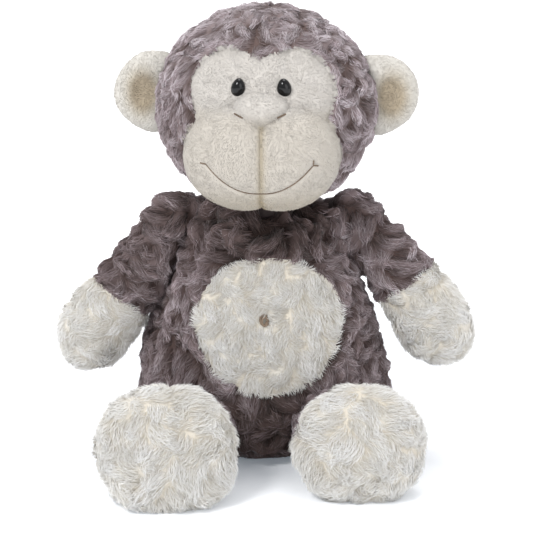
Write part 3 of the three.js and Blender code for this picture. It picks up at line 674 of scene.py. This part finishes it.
# -------- what differs from place to place
def tint_and_painted_light(panel, points):
    """The tint at each point, with painted light and shade: 0 is the darker or warmer end, 1 the lighter."""
    if panel in FACE_NODES:
        # Painted shade low on the muzzle, darker and warmer there; warmer along its seam, lighter over it.
        low, high = box("muzzle_right", "muzzle_left")
        lower = 1 - smooth_step(low[2] + 2, low[2] + 22, points[:, 2])
        seam = 0.35 * near_path(points, muzzle_seam(), 2.4)
        upper = 0.16 * smooth_step(high[2] - 8, high[2] + 2, points[:, 2])
        return 0.6 - 0.22 * lower - seam + upper
    if panel.startswith("ear_front"):
        # Painted shade: darker and warmer in the ear's hollow.
        low, high = box(panel)
        return 0.1 + 0.9 * smooth_step(0.14, 0.44, off_middle(points, (low + high) / 2, high - low))
    if panel.startswith("hood"):
        # Painted light: lighter toward the crown.
        low, high = box("hood_right", "hood_left")
        return 0.66 + 0.2 * smooth_step((low[2] + high[2]) / 2, high[2], points[:, 2])
    tint = np.full(len(points), 0.55)
    if panel == "sleeve_right":
        return tint - 0.14
    if panel in ("torso_front", "seat_panel"):
        # Painted shade: darker under the chin and between the legs.
        low, high = box("torso_front")
        inner = smooth_step(48, 26, np.abs(points[:, 0] - (low[0] + high[0]) / 2))
        tint -= 0.3 * smooth_step(high[2] - 42, high[2] - 18, points[:, 2]) * inner
        tint -= 0.5 * smooth_step(56, 36, points[:, 2]) * inner + 0.06
    return tint


def undertone_and_painted_shade(panel, points):
    """How far the grey shows its warm undertone and painted shade, 0 to 1."""
    warm = (0.15 if panel.startswith("hood") else 0.35) + 0.3 * waves(points, 60, 61)
    if panel.startswith("torso"):
        _, high = box("torso_front")
        # Painted shade under the chin, and on the toy's left side, away from the key light.
        warm += 0.45 * smooth_step(high[2] - 45, high[2] - 15, points[:, 2])
        warm += 0.3 * smooth_step(0.0, high[0], points[:, 0])
    if panel == "sleeve_right":
        warm += 0.3
    return np.clip(warm, 0, 1)


def fullness(body, points):
    """The share of its usual height that the pile has at each point."""
    if body.startswith("arm"):
        # Fuller round the shoulder.
        off = np.linalg.norm(points - pivot(body.replace("arm", "arm_swing")), axis=1)
        return 1 + 0.7 * smooth_step(26, 12, off)
    if body.startswith("leg"):
        # Fuller where the foot rests.
        return 1 + 0.8 * smooth_step(26, 8, points[:, 2])
    if body != "torso":
        return np.ones(len(points))
    # Thin round the button, and fuller at the neck.
    centre = middle("belly_button")
    off = off_middle(points, centre)
    bare = np.where(points[:, 1] < centre[1] + 12, 0.25 + 0.75 * smooth_step(1.5, 9.0, off), 1.0)
    top = box("torso_front")[1][2]
    return bare * (1 + 1.6 * smooth_step(top - 30, top - 8, points[:, 2]))


# -------- pile
def grow(form, panel, style, seed):
    """The strands of one panel as arrays: ring centres, ring normals, half widths, tints and depths."""
    draw = np.random.default_rng(SEED + seed)
    length, width, lift = style["strand"]
    roots, on_mass, owners = form.roots(panel, style["per_mm2"], draw)
    keep = kept(panel, roots, draw)
    roots, on_mass, owners = roots[keep], on_mass[keep], owners[keep]
    count = len(roots)
    locks = form.locks[group_of(panel)]
    sample = form.lock_of_face[owners]
    middles = locks.samples.reshape(-1, 3)[sample]
    ways = locks.ways.reshape(-1, 3)[sample]
    _, normals, _ = form.nearest(roots)
    ways = turned(along_surface(ways, normals), normals, draw.normal(0, style["stray"], count))
    inward = (middles - roots) * style["gather"]
    reach = length * draw.uniform(*STRAND_LENGTHS, count)
    lowest = HEIGHT_KEPT * np.linalg.norm(on_mass - roots, axis=1)
    stand = lift * draw.uniform(*STRAND_LIFTS, count)
    rings, ring_normals, faces = [on_mass - normals * ROOT_SINK], [normals], [owners]
    for share in RING_SHARES[1:]:
        aim = roots + ways * (reach * share)[:, None] + inward * share
        place, normal, face = form.nearest(aim)
        height = np.maximum(form.height_of_face[face], lowest) + stand * share
        rings.append(place + normal * height[:, None])
        ring_normals.append(normal)
        faces.append(face)
    places = np.array(rings)
    places = shortened(places, trimmed(form, panel, style, places, faces))
    places = off_the_floor(places, middle(panel))
    tints, depths = strand_colours(form, panel, roots, owners, draw)
    half_widths = width / 2 * draw.uniform(*STRAND_WIDTHS, count)
    return places, np.array(ring_normals), half_widths, tints, depths


def off_the_floor(places, centre):
    """The places, with those that would sink into the floor pushed outward along it."""
    below = np.minimum(places[:, :, 2] - FLOOR_CLEARANCE, 0)
    outward = unit((places - centre) * np.array([1, 1, 0]))
    places = places - outward * below[:, :, None] * FLOOR_PUSH
    places[:, :, 2] = np.maximum(places[:, :, 2], FLOOR_CLEARANCE)
    return places


def strand_colours(form, panel, roots, owners, draw):
    """Each strand's tint, and its depth: how far it gets from the root's colour to the tip's, lowered by painted
    shade.
    """
    group = group_of(panel)
    locks = form.locks[group]
    lock = form.lock_of_face[owners] % locks.samples.shape[1]
    contrast = SHADING[group]["contrast"]
    tints = tint_and_painted_light(panel, roots) + locks.tints[lock] * contrast / FULL_LOCK_TINTS
    tints += draw.normal(0, contrast, len(roots))
    # Painted shade: strands low in a crease between locks get less of the tip's colour.
    shade, gain = SHADING[group]["crease"]
    depths = 1 - shade * (1 - np.minimum(form.crest_of_face[owners] * gain, 1))
    # The warm undertone and the painted shade darken the grey further.
    if group == "grey_pile":
        depths *= 1 - UNDERTONE_AND_SHADE_DARKENING * undertone_and_painted_shade(panel, roots)
    return np.clip(tints, *TINT_LIMITS), depths


def tuft_middles(form, panel, spacing, draw):
    """Places on a panel that are at least about a tuft apart."""
    tries = form.roots(panel, TUFTS_TRIED / spacing**2, draw)[0]
    draw.shuffle(tries)
    cells = {}
    chosen = []
    for place in tries:
        cell = tuple(np.floor(place / spacing).astype(int))
        near = (
            other
            for step in itertools.product((-1, 0, 1), repeat=3)
            for other in cells.get(tuple(c + s for c, s in zip(cell, step)), ())
        )
        if all(np.linalg.norm(place - other) > spacing * TUFT_GAP for other in near):
            cells.setdefault(cell, []).append(place)
            chosen.append(place)
    return np.array(chosen)


def guide_lines(form, panel, tufts, style, draw):
    """The middle line of each lock, at each of the guide shares, on the surface."""
    place, normal, _ = form.nearest(tufts)
    angle = style["swirl"] * waves(tufts, 40, 3) + draw.normal(0, style["spread"], len(tufts))
    curl = draw.normal(0, LOCK_CURL, len(tufts))
    length = style["lock"][1] * draw.uniform(*LOCK_LENGTHS, len(tufts))
    lines = [tufts]
    for ring in range(1, len(GUIDE_SHARES)):
        way = along_surface(flow(panel, place), normal)
        way = turned(way, normal, angle + curl * ring)
        step = length * (GUIDE_SHARES[ring] - GUIDE_SHARES[ring - 1])
        place, normal, _ = form.nearest(place + way * step[:, None])
        lines.append(place)
    return np.array(lines)


def trimmed(form, panel, style, places, faces):
    """The share of each strand that stays on its own colour, give or take the overhang."""
    own = group_of(panel)
    reach = np.ones(places.shape[1])
    for ring in range(len(RING_SHARES) - 1, 0, -1):
        which = np.flatnonzero(form.group_of_face[faces[ring]] != own)
        if not len(which):
            continue
        before, after = places[ring - 1][which], places[ring][which]
        inside = form.group_of_face[form.nearest((before + after) / 2)[2]] == own
        run = np.linalg.norm(after - before, axis=1)
        share = np.where(inside, 0.75, 0.25) + style["overhang"] / np.maximum(run, 0.1)
        span = RING_SHARES[ring] - RING_SHARES[ring - 1]
        reach[which] = np.minimum(RING_SHARES[ring - 1] + span * share, 1)
    return np.maximum(reach, SHORTEST_STRAND)


def shortened(places, reach):
    """Each strand's rings, moved back along it so that it ends at its reach."""
    moved = np.empty_like(places)
    for ring, share in enumerate(RING_SHARES):
        wanted = share * reach
        upper = np.clip(np.searchsorted(RING_SHARES, wanted, side="right"), 1, len(RING_SHARES) - 1)
        low, high = RING_SHARES[upper - 1], RING_SHARES[upper]
        part = ((wanted - low) / (high - low))[:, None]
        index = np.arange(places.shape[1])
        moved[ring] = places[upper - 1, index] * (1 - part) + places[upper, index] * part
    return moved


def strands_mesh(name, places, normals, half_widths, tints, depths):
    """Closed three-sided strands that taper to a point. The map's U is the tint, and V runs root to tip."""
    rings, count = len(RING_SHARES), places.shape[1]
    sides = STRAND_CORNERS
    per_strand = (rings - 1) * sides + 1
    points = np.empty((count, per_strand, 3))
    maps = np.empty((count, per_strand, 2))
    for ring in range(rings - 1):
        ahead = unit(places[ring + 1] - places[max(ring - 1, 0)])
        across = unit(np.cross(ahead, normals[ring]))
        up = np.cross(across, ahead)
        radius = (half_widths * WIDTH_SHAPE[ring])[:, None]
        rise = ROOT_DEPTH + (1 - ROOT_DEPTH) * RING_SHARES[ring]
        for corner in range(sides):
            angle = math.pi / 2 + corner * 2 * math.pi / sides
            offset = across * math.cos(angle) + up * math.sin(angle) * STRAND_FLATNESS
            points[:, ring * sides + corner] = places[ring] + radius * offset
            maps[:, ring * sides + corner, 0] = tints + (corner - 1) * CORNER_TINT
            maps[:, ring * sides + corner, 1] = rise * depths
    points[:, -1] = places[-1]
    maps[:, -1, 0] = tints
    maps[:, -1, 1] = depths
    points[:, :, 2] = np.maximum(points[:, :, 2], LOWEST_STRAND)
    triangles = [tuple(range(sides))]
    for ring in range(rings - 2):
        for corner in range(sides):
            a, b = ring * sides + corner, ring * sides + (corner + 1) % sides
            c, d = a + sides, b + sides
            triangles += [(a, c, b), (b, c, d)]
    last = (rings - 2) * sides
    triangles += [(last + k, per_strand - 1, last + (k + 1) % sides) for k in range(sides)]
    faces = (np.array(triangles)[None] + (np.arange(count) * per_strand)[:, None, None]).reshape(-1)
    face_count = len(faces) // 3
    mesh = bpy.data.meshes.new(name)
    mesh.vertices.add(count * per_strand)
    mesh.vertices.foreach_set("co", (points * MM).ravel())
    mesh.loops.add(len(faces))
    mesh.loops.foreach_set("vertex_index", faces)
    mesh.polygons.add(face_count)
    mesh.polygons.foreach_set("loop_start", np.arange(0, len(faces), 3))
    mesh.polygons.foreach_set("loop_total", np.full(face_count, 3))
    mesh.polygons.foreach_set("use_smooth", np.zeros(face_count, bool))
    layer = mesh.uv_layers.new(name="OFBake")
    layer.data.foreach_set("uv", maps.reshape(-1, 2)[faces].ravel())
    mesh.update()
    return linked(name, mesh)


# -------- materials
STREAK_SCALE = (160, 5, 1)  # many across the tints, few along a strand
WAVE_RADIANS = 20  # that the wave texture turns over one unit at scale 1


def new_material(name, roughness):
    material = bpy.data.materials.new(name)
    material.use_nodes = True
    shader = material.node_tree.nodes["Principled BSDF"]
    shader.inputs["Roughness"].default_value = roughness
    return material, material.node_tree, shader


def node(tree, kind, **values):
    made = tree.nodes.new(kind)
    for key, value in values.items():
        if key in made.inputs:
            made.inputs[key].default_value = value
        else:
            setattr(made, key, value)
    return made


def ramp(tree, source, stops):
    """A colour ramp from (place, (r, g, b)) stops in linear light."""
    made = tree.nodes.new("ShaderNodeValToRGB")
    elements = made.color_ramp.elements
    while len(elements) < len(stops):
        elements.new(0.5)
    for element, (place, colour) in zip(elements, stops):
        element.position = place
        element.color = (*colour, 1)
    tree.links.new(source, made.inputs[0])
    return made.outputs[0]


def linear(*srgb):
    """Linear light from 0 to 255 sRGB."""
    return tuple((c / 255 / 12.92) if c <= 10 else ((c / 255 + 0.055) / 1.055) ** 2.4 for c in srgb)


def pile_material(name, root, middle_tone, tips, sheen):
    """Finely streaked pile, coloured by the strands' map: root to middle_tone low down, tips above."""
    material, tree, shader = new_material(name, 0.85)
    place = node(tree, "ShaderNodeUVMap", uv_map="OFBake")
    split = tree.nodes.new("ShaderNodeSeparateXYZ")
    tree.links.new(place.outputs[0], split.inputs[0])
    stops = [(i / (len(tips) - 1), colour) for i, colour in enumerate(tips)]
    tip = ramp(tree, split.outputs["X"], stops)
    low = ramp(tree, split.outputs["X"], [(0, root), (1, middle_tone)])
    rise = ramp(tree, split.outputs["Y"], [(0.05, (0, 0, 0)), (0.75, (1, 1, 1))])
    mix = node(tree, "ShaderNodeMix", data_type="RGBA")
    tree.links.new(rise, mix.inputs["Factor"])
    tree.links.new(low, mix.inputs[6])
    tree.links.new(tip, mix.inputs[7])
    stretch = node(tree, "ShaderNodeMapping")
    stretch.inputs["Scale"].default_value = STREAK_SCALE
    tree.links.new(place.outputs[0], stretch.inputs["Vector"])
    streaks = node(tree, "ShaderNodeTexNoise", Scale=1.0, Detail=2.0)
    tree.links.new(stretch.outputs[0], streaks.inputs["Vector"])
    shade = ramp(tree, streaks.outputs["Fac"], [(0.3, (0.82, 0.82, 0.82)), (0.7, (1, 1, 1))])
    final = node(tree, "ShaderNodeMix", data_type="RGBA", blend_type="MULTIPLY")
    final.inputs["Factor"].default_value = 1.0
    tree.links.new(mix.outputs[2], final.inputs[6])
    tree.links.new(shade, final.inputs[7])
    tree.links.new(final.outputs[2], shader.inputs["Base Color"])
    shader.inputs["Sheen Weight"].default_value = sheen
    shader.inputs["Sheen Roughness"].default_value = 0.45
    shader.inputs["Specular IOR Level"].default_value = 0.2
    return material


def clouded(tree, shader, scale, detail, dark, light):
    """Colours a material in blotches from dark to light, and gives the node that places them."""
    place = tree.nodes.new("ShaderNodeTexCoord")
    cloud = node(tree, "ShaderNodeTexNoise", Scale=scale, Detail=detail)
    tree.links.new(place.outputs["Object"], cloud.inputs["Vector"])
    colour = ramp(tree, cloud.outputs["Fac"], [(0.3, dark), (0.7, light)])
    tree.links.new(colour, shader.inputs["Base Color"])
    return place


def cloth_material(name, dark, light, rib_mm=0.6):
    """Cloth or thread: blotches of tone, and fine ribs whose wave turns one radian in rib_mm."""
    material, tree, shader = new_material(name, 0.95)
    place = clouded(tree, shader, 90.0, 4.0, dark, light)
    rib = node(tree, "ShaderNodeTexWave", Scale=1 / (rib_mm * MM * WAVE_RADIANS), Distortion=1.5)
    tree.links.new(place.outputs["Object"], rib.inputs["Vector"])
    bump = node(tree, "ShaderNodeBump", Strength=0.4, Distance=0.0003)
    tree.links.new(rib.outputs["Fac"], bump.inputs["Height"])
    tree.links.new(bump.outputs[0], shader.inputs["Normal"])
    return material


def eye_material():
    """Glossy black plastic."""
    material, tree, shader = new_material("bead_black", 0.03)
    clouded(tree, shader, 300.0, 2.0, linear(4, 4, 5), linear(12, 11, 12))
    shader.inputs["Specular IOR Level"].default_value = 0.32
    return material


GREY_TIPS = [linear(96, 78, 74), linear(168, 153, 157), linear(214, 206, 211)]
CREAM_TIPS = [linear(204, 199, 189), linear(226, 225, 222), linear(238, 238, 239)]
FACE_TIPS = [linear(160, 148, 124), linear(182, 176, 167), linear(190, 188, 188)]
EAR_TIPS = [linear(162, 149, 128), linear(188, 182, 171), linear(200, 197, 191)]
GREY_PILE = pile_material("grey_long_pile", linear(40, 28, 24), linear(92, 72, 66), GREY_TIPS, 0.2)
PILE_MATERIALS = {
    "grey_pile": GREY_PILE,
    "grey_backing": GREY_PILE,
    "cream_pile": pile_material(
        "cream_long_pile", linear(182, 172, 154), linear(212, 206, 195), CREAM_TIPS, 0.2
    ),
    "face_plush": pile_material(
        "face_short_plush", linear(156, 145, 124), linear(178, 173, 164), FACE_TIPS, 0.12
    ),
    "ear_plush": pile_material(
        "ear_short_plush", linear(146, 131, 110), linear(186, 179, 167), EAR_TIPS, 0.12
    ),
}
BACKING = cloth_material("grey_backing_cloth", linear(52, 43, 42), linear(74, 63, 62))
FIBRE = cloth_material("stuffing_fibre", linear(225, 224, 220), linear(242, 241, 238), 2.0)
BROWN_THREAD = cloth_material("brown_thread", linear(84, 70, 58), linear(120, 104, 88), 0.3)
GREY_THREAD = cloth_material("grey_thread", linear(120, 108, 110), linear(158, 146, 148), 0.3)


def dress(made, material):
    made.data.materials.clear()
    made.data.materials.append(material)
    return made


# -------- panels, filling and their pile
def closed_between(name, outer, inner, faces):
    """A closed sheet between two copies of the same faces, walled in along their open edge."""
    count = len(outer)
    directed = {(start, end) for face in faces for start, end in zip(face, face[1:] + face[:1])}
    rim = [(start, end) for start, end in directed if (end, start) not in directed]
    back = [[corner + count for corner in reversed(face)] for face in faces]
    wall = [[end, start, start + count, end + count] for start, end in sorted(rim)]
    return mesh_object(name, np.concatenate([outer, inner]), faces + back + wall)


def paint_mass(piece, form, used, panel):
    """The map of the pile's mass: U is the tint and V the height, as on the strands, kept low as painted shade."""
    deepest = SHADING[group_of(panel)]["mass"]
    tint = np.clip(tint_and_painted_light(panel, form.points[used]) - MASS_SHADE, *TINT_LIMITS)
    depth = deepest + MASS_CREST * (1 - deepest) * form.crests[used]
    maps = np.stack([np.tile(tint, 2), np.tile(depth, 2)], axis=1)
    corners = np.empty(len(piece.data.loops), int)
    piece.data.loops.foreach_get("vertex_index", corners)
    layer = piece.data.uv_layers.new(name="OFBake")
    layer.data.foreach_set("uv", maps[corners].ravel())


def build_panels(form):
    """One closed sewn panel with its pile's mass for each CAD skin node, cut from the form."""
    for index, panel in enumerate(form.panels):
        chosen = np.flatnonzero(form.panel_of_face == index)
        used = sorted({corner for i in chosen for corner in form.faces[i]})
        renumber = {old: new for new, old in enumerate(used)}
        faces = [[renumber[corner] for corner in form.faces[i]] for i in chosen]
        outer = form.mass[used]
        inner = form.points[used] - form.normals[used] * SKIN_THICKNESS
        piece = closed_between(f"{panel}_panel", outer, inner, faces)
        paint_mass(piece, form, used, panel)
        dress(piece, PILE_MATERIALS[slot_of[panel]])
        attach(piece, form.body)
        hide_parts(panel)


def build_filling(form):
    """The stuffing that fills the sewn skin."""
    if not form.filling:
        return
    inner = form.points - form.normals * (SKIN_THICKNESS + FILLING_GAP)
    piece = mesh_object(f"{form.body}_fibre", inner, form.faces)
    modified(piece, ("DECIMATE", {"ratio": FILLING_DETAIL}))
    dress(piece, FIBRE)
    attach(piece, form.body)
    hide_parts(*form.filling)


def build_pile(form, panel, seed):
    """The strands of one panel, in as many pieces as their number asks for."""
    places, normals, *facts = grow(form, panel, style_of(panel), seed)
    parts = math.ceil(places.shape[1] / MOST_STRANDS)
    order = np.argsort(places[0][:, 0], kind="stable")
    for part, chosen in enumerate(np.array_split(order, parts)):
        name = f"{panel}_pile" if parts == 1 else f"{panel}_pile_{part + 1}"
        piece = strands_mesh(name, places[:, chosen], normals[:, chosen], *(fact[chosen] for fact in facts))
        dress(piece, PILE_MATERIALS[slot_of[panel]])
        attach(piece, form.body)


def build_gussets():
    """The fabric balls that turn between the limbs and the torso."""
    for body, gusset in GUSSETS.items():
        piece = copies(f"{gusset}_cloth", [gusset])
        modified(
            piece,
            ("REMESH", {"mode": "VOXEL", "voxel_size": GUSSET_VOXEL * MM}),
            ("SMOOTH", {"factor": 0.5, "iterations": GUSSET_ROUNDING}),
        )
        keep_biggest_shell(piece)
        piece.data.polygons.foreach_set("use_smooth", np.ones(len(piece.data.polygons), bool))
        dress(piece, BACKING)
        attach(piece, body)
        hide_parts(gusset)


# -------- thread
def lattice(rings, sides, first=0):
    """The faces between closed rings of points."""
    faces = []
    for ring in range(rings - 1):
        for k in range(sides):
            a, b = first + ring * sides + k, first + ring * sides + (k + 1) % sides
            faces.append((a, a + sides, b + sides, b))
    return faces


def lengths_along(path):
    """How far each point of a path is from its start."""
    return np.concatenate([[0], np.cumsum(np.linalg.norm(np.diff(path, axis=0), axis=1))])


def thread_tube(name, path, radius, twist=1.1, sides=8):
    """A two-ply twisted thread along a path of points, closed at both ends."""
    path = np.array(path, float)
    ahead = unit(np.gradient(path, axis=0))
    across = unit(np.cross(ahead, np.array([0.0, -1.0, 0.0])))
    up = np.cross(across, ahead)
    run = lengths_along(path)
    points = []
    for i, place in enumerate(path):
        for k in range(sides):
            angle = 2 * math.pi * k / sides
            size = radius * (1 + PLY_DEPTH * math.cos(2 * (angle - twist * run[i] / radius)))
            points.append(place + size * (across[i] * math.cos(angle) + up[i] * math.sin(angle)))
    last = (len(path) - 1) * sides
    ends = [tuple(range(sides)), tuple(last + k for k in reversed(range(sides)))]
    return mesh_object(name, points, lattice(len(path), sides) + ends)


def on_head(head, path, proud, step=0.5):
    """A front-view path laid on the head's surface, in even steps."""
    path = np.array(path, float)
    run = lengths_along(path)
    spots = np.arange(0, run[-1] + step / 2, step)
    laid = []
    for x, z in zip(np.interp(spots, run, path[:, 0]), np.interp(spots, run, path[:, 2])):
        laid.append(head.in_front(x, z) - np.array([0, proud, 0]))
    return laid


def build_face_thread(head):
    """The embroidered smile with its end stitches, and the nostrils' stitches."""
    smile = smile_path()
    radius, proud = SMILE_THREAD
    pieces = [thread_tube("smile_thread", on_head(head, smile, proud), radius)]
    radius, proud = TICK_THREAD
    for corner, ticks in zip((smile[0], smile[-1]), END_STITCHES):
        for dx, dz in ticks:
            path = [corner, (corner[0] + dx, 0, corner[2] + dz)]
            name = f"smile_tick_{len(pieces)}"
            pieces.append(thread_tube(name, on_head(head, path, proud, FINE_STEP), radius))
    for piece in pieces[1:]:
        piece.parent = pieces[0]
    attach(pieces[0], "head")
    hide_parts("mouth_stitch")
    radius, proud = NOSTRIL_THREAD
    for side, path in zip(SIDES, nostril_paths()):
        piece = thread_tube(f"nostril_thread_{side}", on_head(head, path, proud, FINE_STEP), radius)
        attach(piece, "head")
        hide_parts(f"nostril_stitch_{side}")
        pieces.append(piece)
    for piece in pieces:
        dress(piece, BROWN_THREAD)


def build_button(torso):
    """A small hitched loop of brown yarn in the middle of the belly."""
    centre = middle("belly_button")
    pieces = []
    for index, (radius, dx, dz) in enumerate(YARN_LOOPS):
        path = []
        for k in range(YARN_STEPS + 1):
            angle = 2 * math.pi * k / YARN_STEPS * YARN_TURN
            x = centre[0] + dx + radius * YARN_OVAL[0] * math.cos(angle)
            z = centre[2] + dz + radius * YARN_OVAL[1] * math.sin(angle)
            path.append(torso.in_front(x, z) - np.array([0, YARN_STAND[0] + YARN_STAND[1] * index, 0]))
        pieces.append(thread_tube(f"belly_loop_{index + 1}", path, YARN_RADIUS))
    pieces[1].parent = pieces[0]
    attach(pieces[0], "torso")
    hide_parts("belly_button")
    for piece in pieces:
        dress(piece, BROWN_THREAD)


# -------- eyes
def unit_ball(around, down):
    """The points and faces of a ball of radius 1, from its top to its bottom."""
    points = [(0, 0, 1.0)]
    for i in range(1, down):
        polar = math.pi * i / down
        for k in range(around):
            angle = 2 * math.pi * k / around
            x, y = math.sin(polar) * math.cos(angle), math.sin(polar) * math.sin(angle)
            points.append((x, y, math.cos(polar)))
    points.append((0, 0, -1.0))
    last, low = len(points) - 1, 1 + (down - 2) * around
    faces = [(0, 1 + k, 1 + (k + 1) % around) for k in range(around)]
    faces += lattice(down - 1, around, 1)
    faces += [(low + k, last, low + (k + 1) % around) for k in range(around)]
    return np.array(points), faces


def build_eyes(head):
    """Egg-shaped glossy beads, narrower at the top."""
    material = eye_material()
    ball, faces = unit_ball(*EYE_GRID)
    for side, sign in SIDES.items():
        low, high = box(f"eye_{side}")
        centre, half = (low + high) / 2, (high - low) / 2
        front = head.in_front(centre[0], centre[2])
        bead = ball * np.array([half[0] * EYE_GROWTH[0], EYE_HALF_DEPTH, half[2] * EYE_GROWTH[1]])
        x, z = bead[:, 0] * (1 - EYE_TAPER * ball[:, 2]), bead[:, 2].copy()
        tilt = math.radians(EYE_TILT) * sign
        bead[:, 0] = x * math.cos(tilt) - z * math.sin(tilt)
        bead[:, 2] = x * math.sin(tilt) + z * math.cos(tilt)
        bead += np.array([centre[0], front[1] - EYE_PROUD, centre[2]])
        piece = mesh_object(f"eye_bead_{side}", bead, faces)
        dress(piece, material)
        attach(piece, "head")
        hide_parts(f"eye_{side}")


# -------- small carried-over parts
def dress_small_parts():
    """Materials for the CAD nodes that are carried over as they are."""
    plastic, tree, shader = new_material("washer_plastic", 0.45)
    clouded(tree, shader, 400.0, 2.0, linear(222, 220, 212), linear(236, 234, 228))
    looks = {
        "eye_washer_right": plastic,
        "eye_washer_left": plastic,
        "pellet_bag": cloth_material("pellet_cotton", linear(206, 198, 180), linear(226, 220, 206)),
        "blank_label": cloth_material("label_satin", linear(232, 230, 224), linear(244, 243, 240), 0.3),
        "back_seam_stitches": GREY_THREAD,
    }
    for name, material in looks.items():
        dress(frame["nodes"][name], material)


# -------- the stage
def build_stage():
    """A plain pale floor that glows more with distance, a pale world and three soft lights."""
    corners = [(-1, -1, 0), (1, -1, 0), (1, 1, 0), (-1, 1, 0)]
    floor = mesh_object("floor", np.array(corners) * FLOOR_HALF / MM, [(0, 1, 2, 3)], smooth=False)
    material, tree, shader = new_material("pale_floor", 0.9)
    shader.inputs["Base Color"].default_value = FLOOR_COLOUR
    shader.inputs["Specular IOR Level"].default_value = 0.0
    place = tree.nodes.new("ShaderNodeTexCoord")
    far = node(tree, "ShaderNodeVectorMath", operation="LENGTH")
    tree.links.new(place.outputs["Object"], far.inputs[0])
    tree.links.new(ramp(tree, far.outputs["Value"], FLOOR_GLOW), shader.inputs["Emission Color"])
    shader.inputs["Emission Strength"].default_value = 1.0
    dress(floor, material)
    world = bpy.data.worlds.new("studio")
    bpy.context.scene.world = world
    world.use_nodes = True
    world.node_tree.nodes["Background"].inputs["Color"].default_value = WORLD_COLOUR
    world.node_tree.nodes["Background"].inputs["Strength"].default_value = WORLD_STRENGTH
    for name, facts in LIGHTS.items():
        data = bpy.data.lights.new(name, "AREA")
        data.shape = "DISK"
        data.size = facts["size"]
        data.energy = facts["power"]
        light = linked(name, data)
        light.location = facts["place"]
        way = Vector(LIGHT_TARGET) - Vector(facts["place"])
        light.rotation_euler = way.to_track_quat("-Z", "Y").to_euler()


def build_camera():
    data = bpy.data.cameras.new("camera")
    data.lens = CAMERA_LENS
    data.sensor_width = CAMERA_SENSOR
    camera = linked("camera", data)
    slope = math.radians(CAMERA_ELEVATION)
    back = Vector((0, -math.cos(slope), math.sin(slope)))
    camera.location = Vector(CAMERA_AIM) * MM + back * (CAMERA_DISTANCE * MM)
    camera.rotation_euler = (-back).to_track_quat("-Z", "Y").to_euler()
    bpy.context.scene.camera = camera
    bpy.context.scene.view_settings.view_transform = "Standard"


# -------- assembly
def main():
    build_camera()
    build_stage()
    seed = FIRST_PILE_SEED
    forms = {body: Form(body, **facts) for body, facts in FORMS.items()}
    for form in forms.values():
        build_panels(form)
        build_filling(form)
        for panel in form.panels:
            build_pile(form, panel, seed)
            seed += 1
    build_gussets()
    build_face_thread(forms["head"])
    build_button(forms["torso"])
    build_eyes(forms["head"])
    dress_small_parts()
    for form in forms.values():
        bpy.data.objects.remove(form.object)


main()
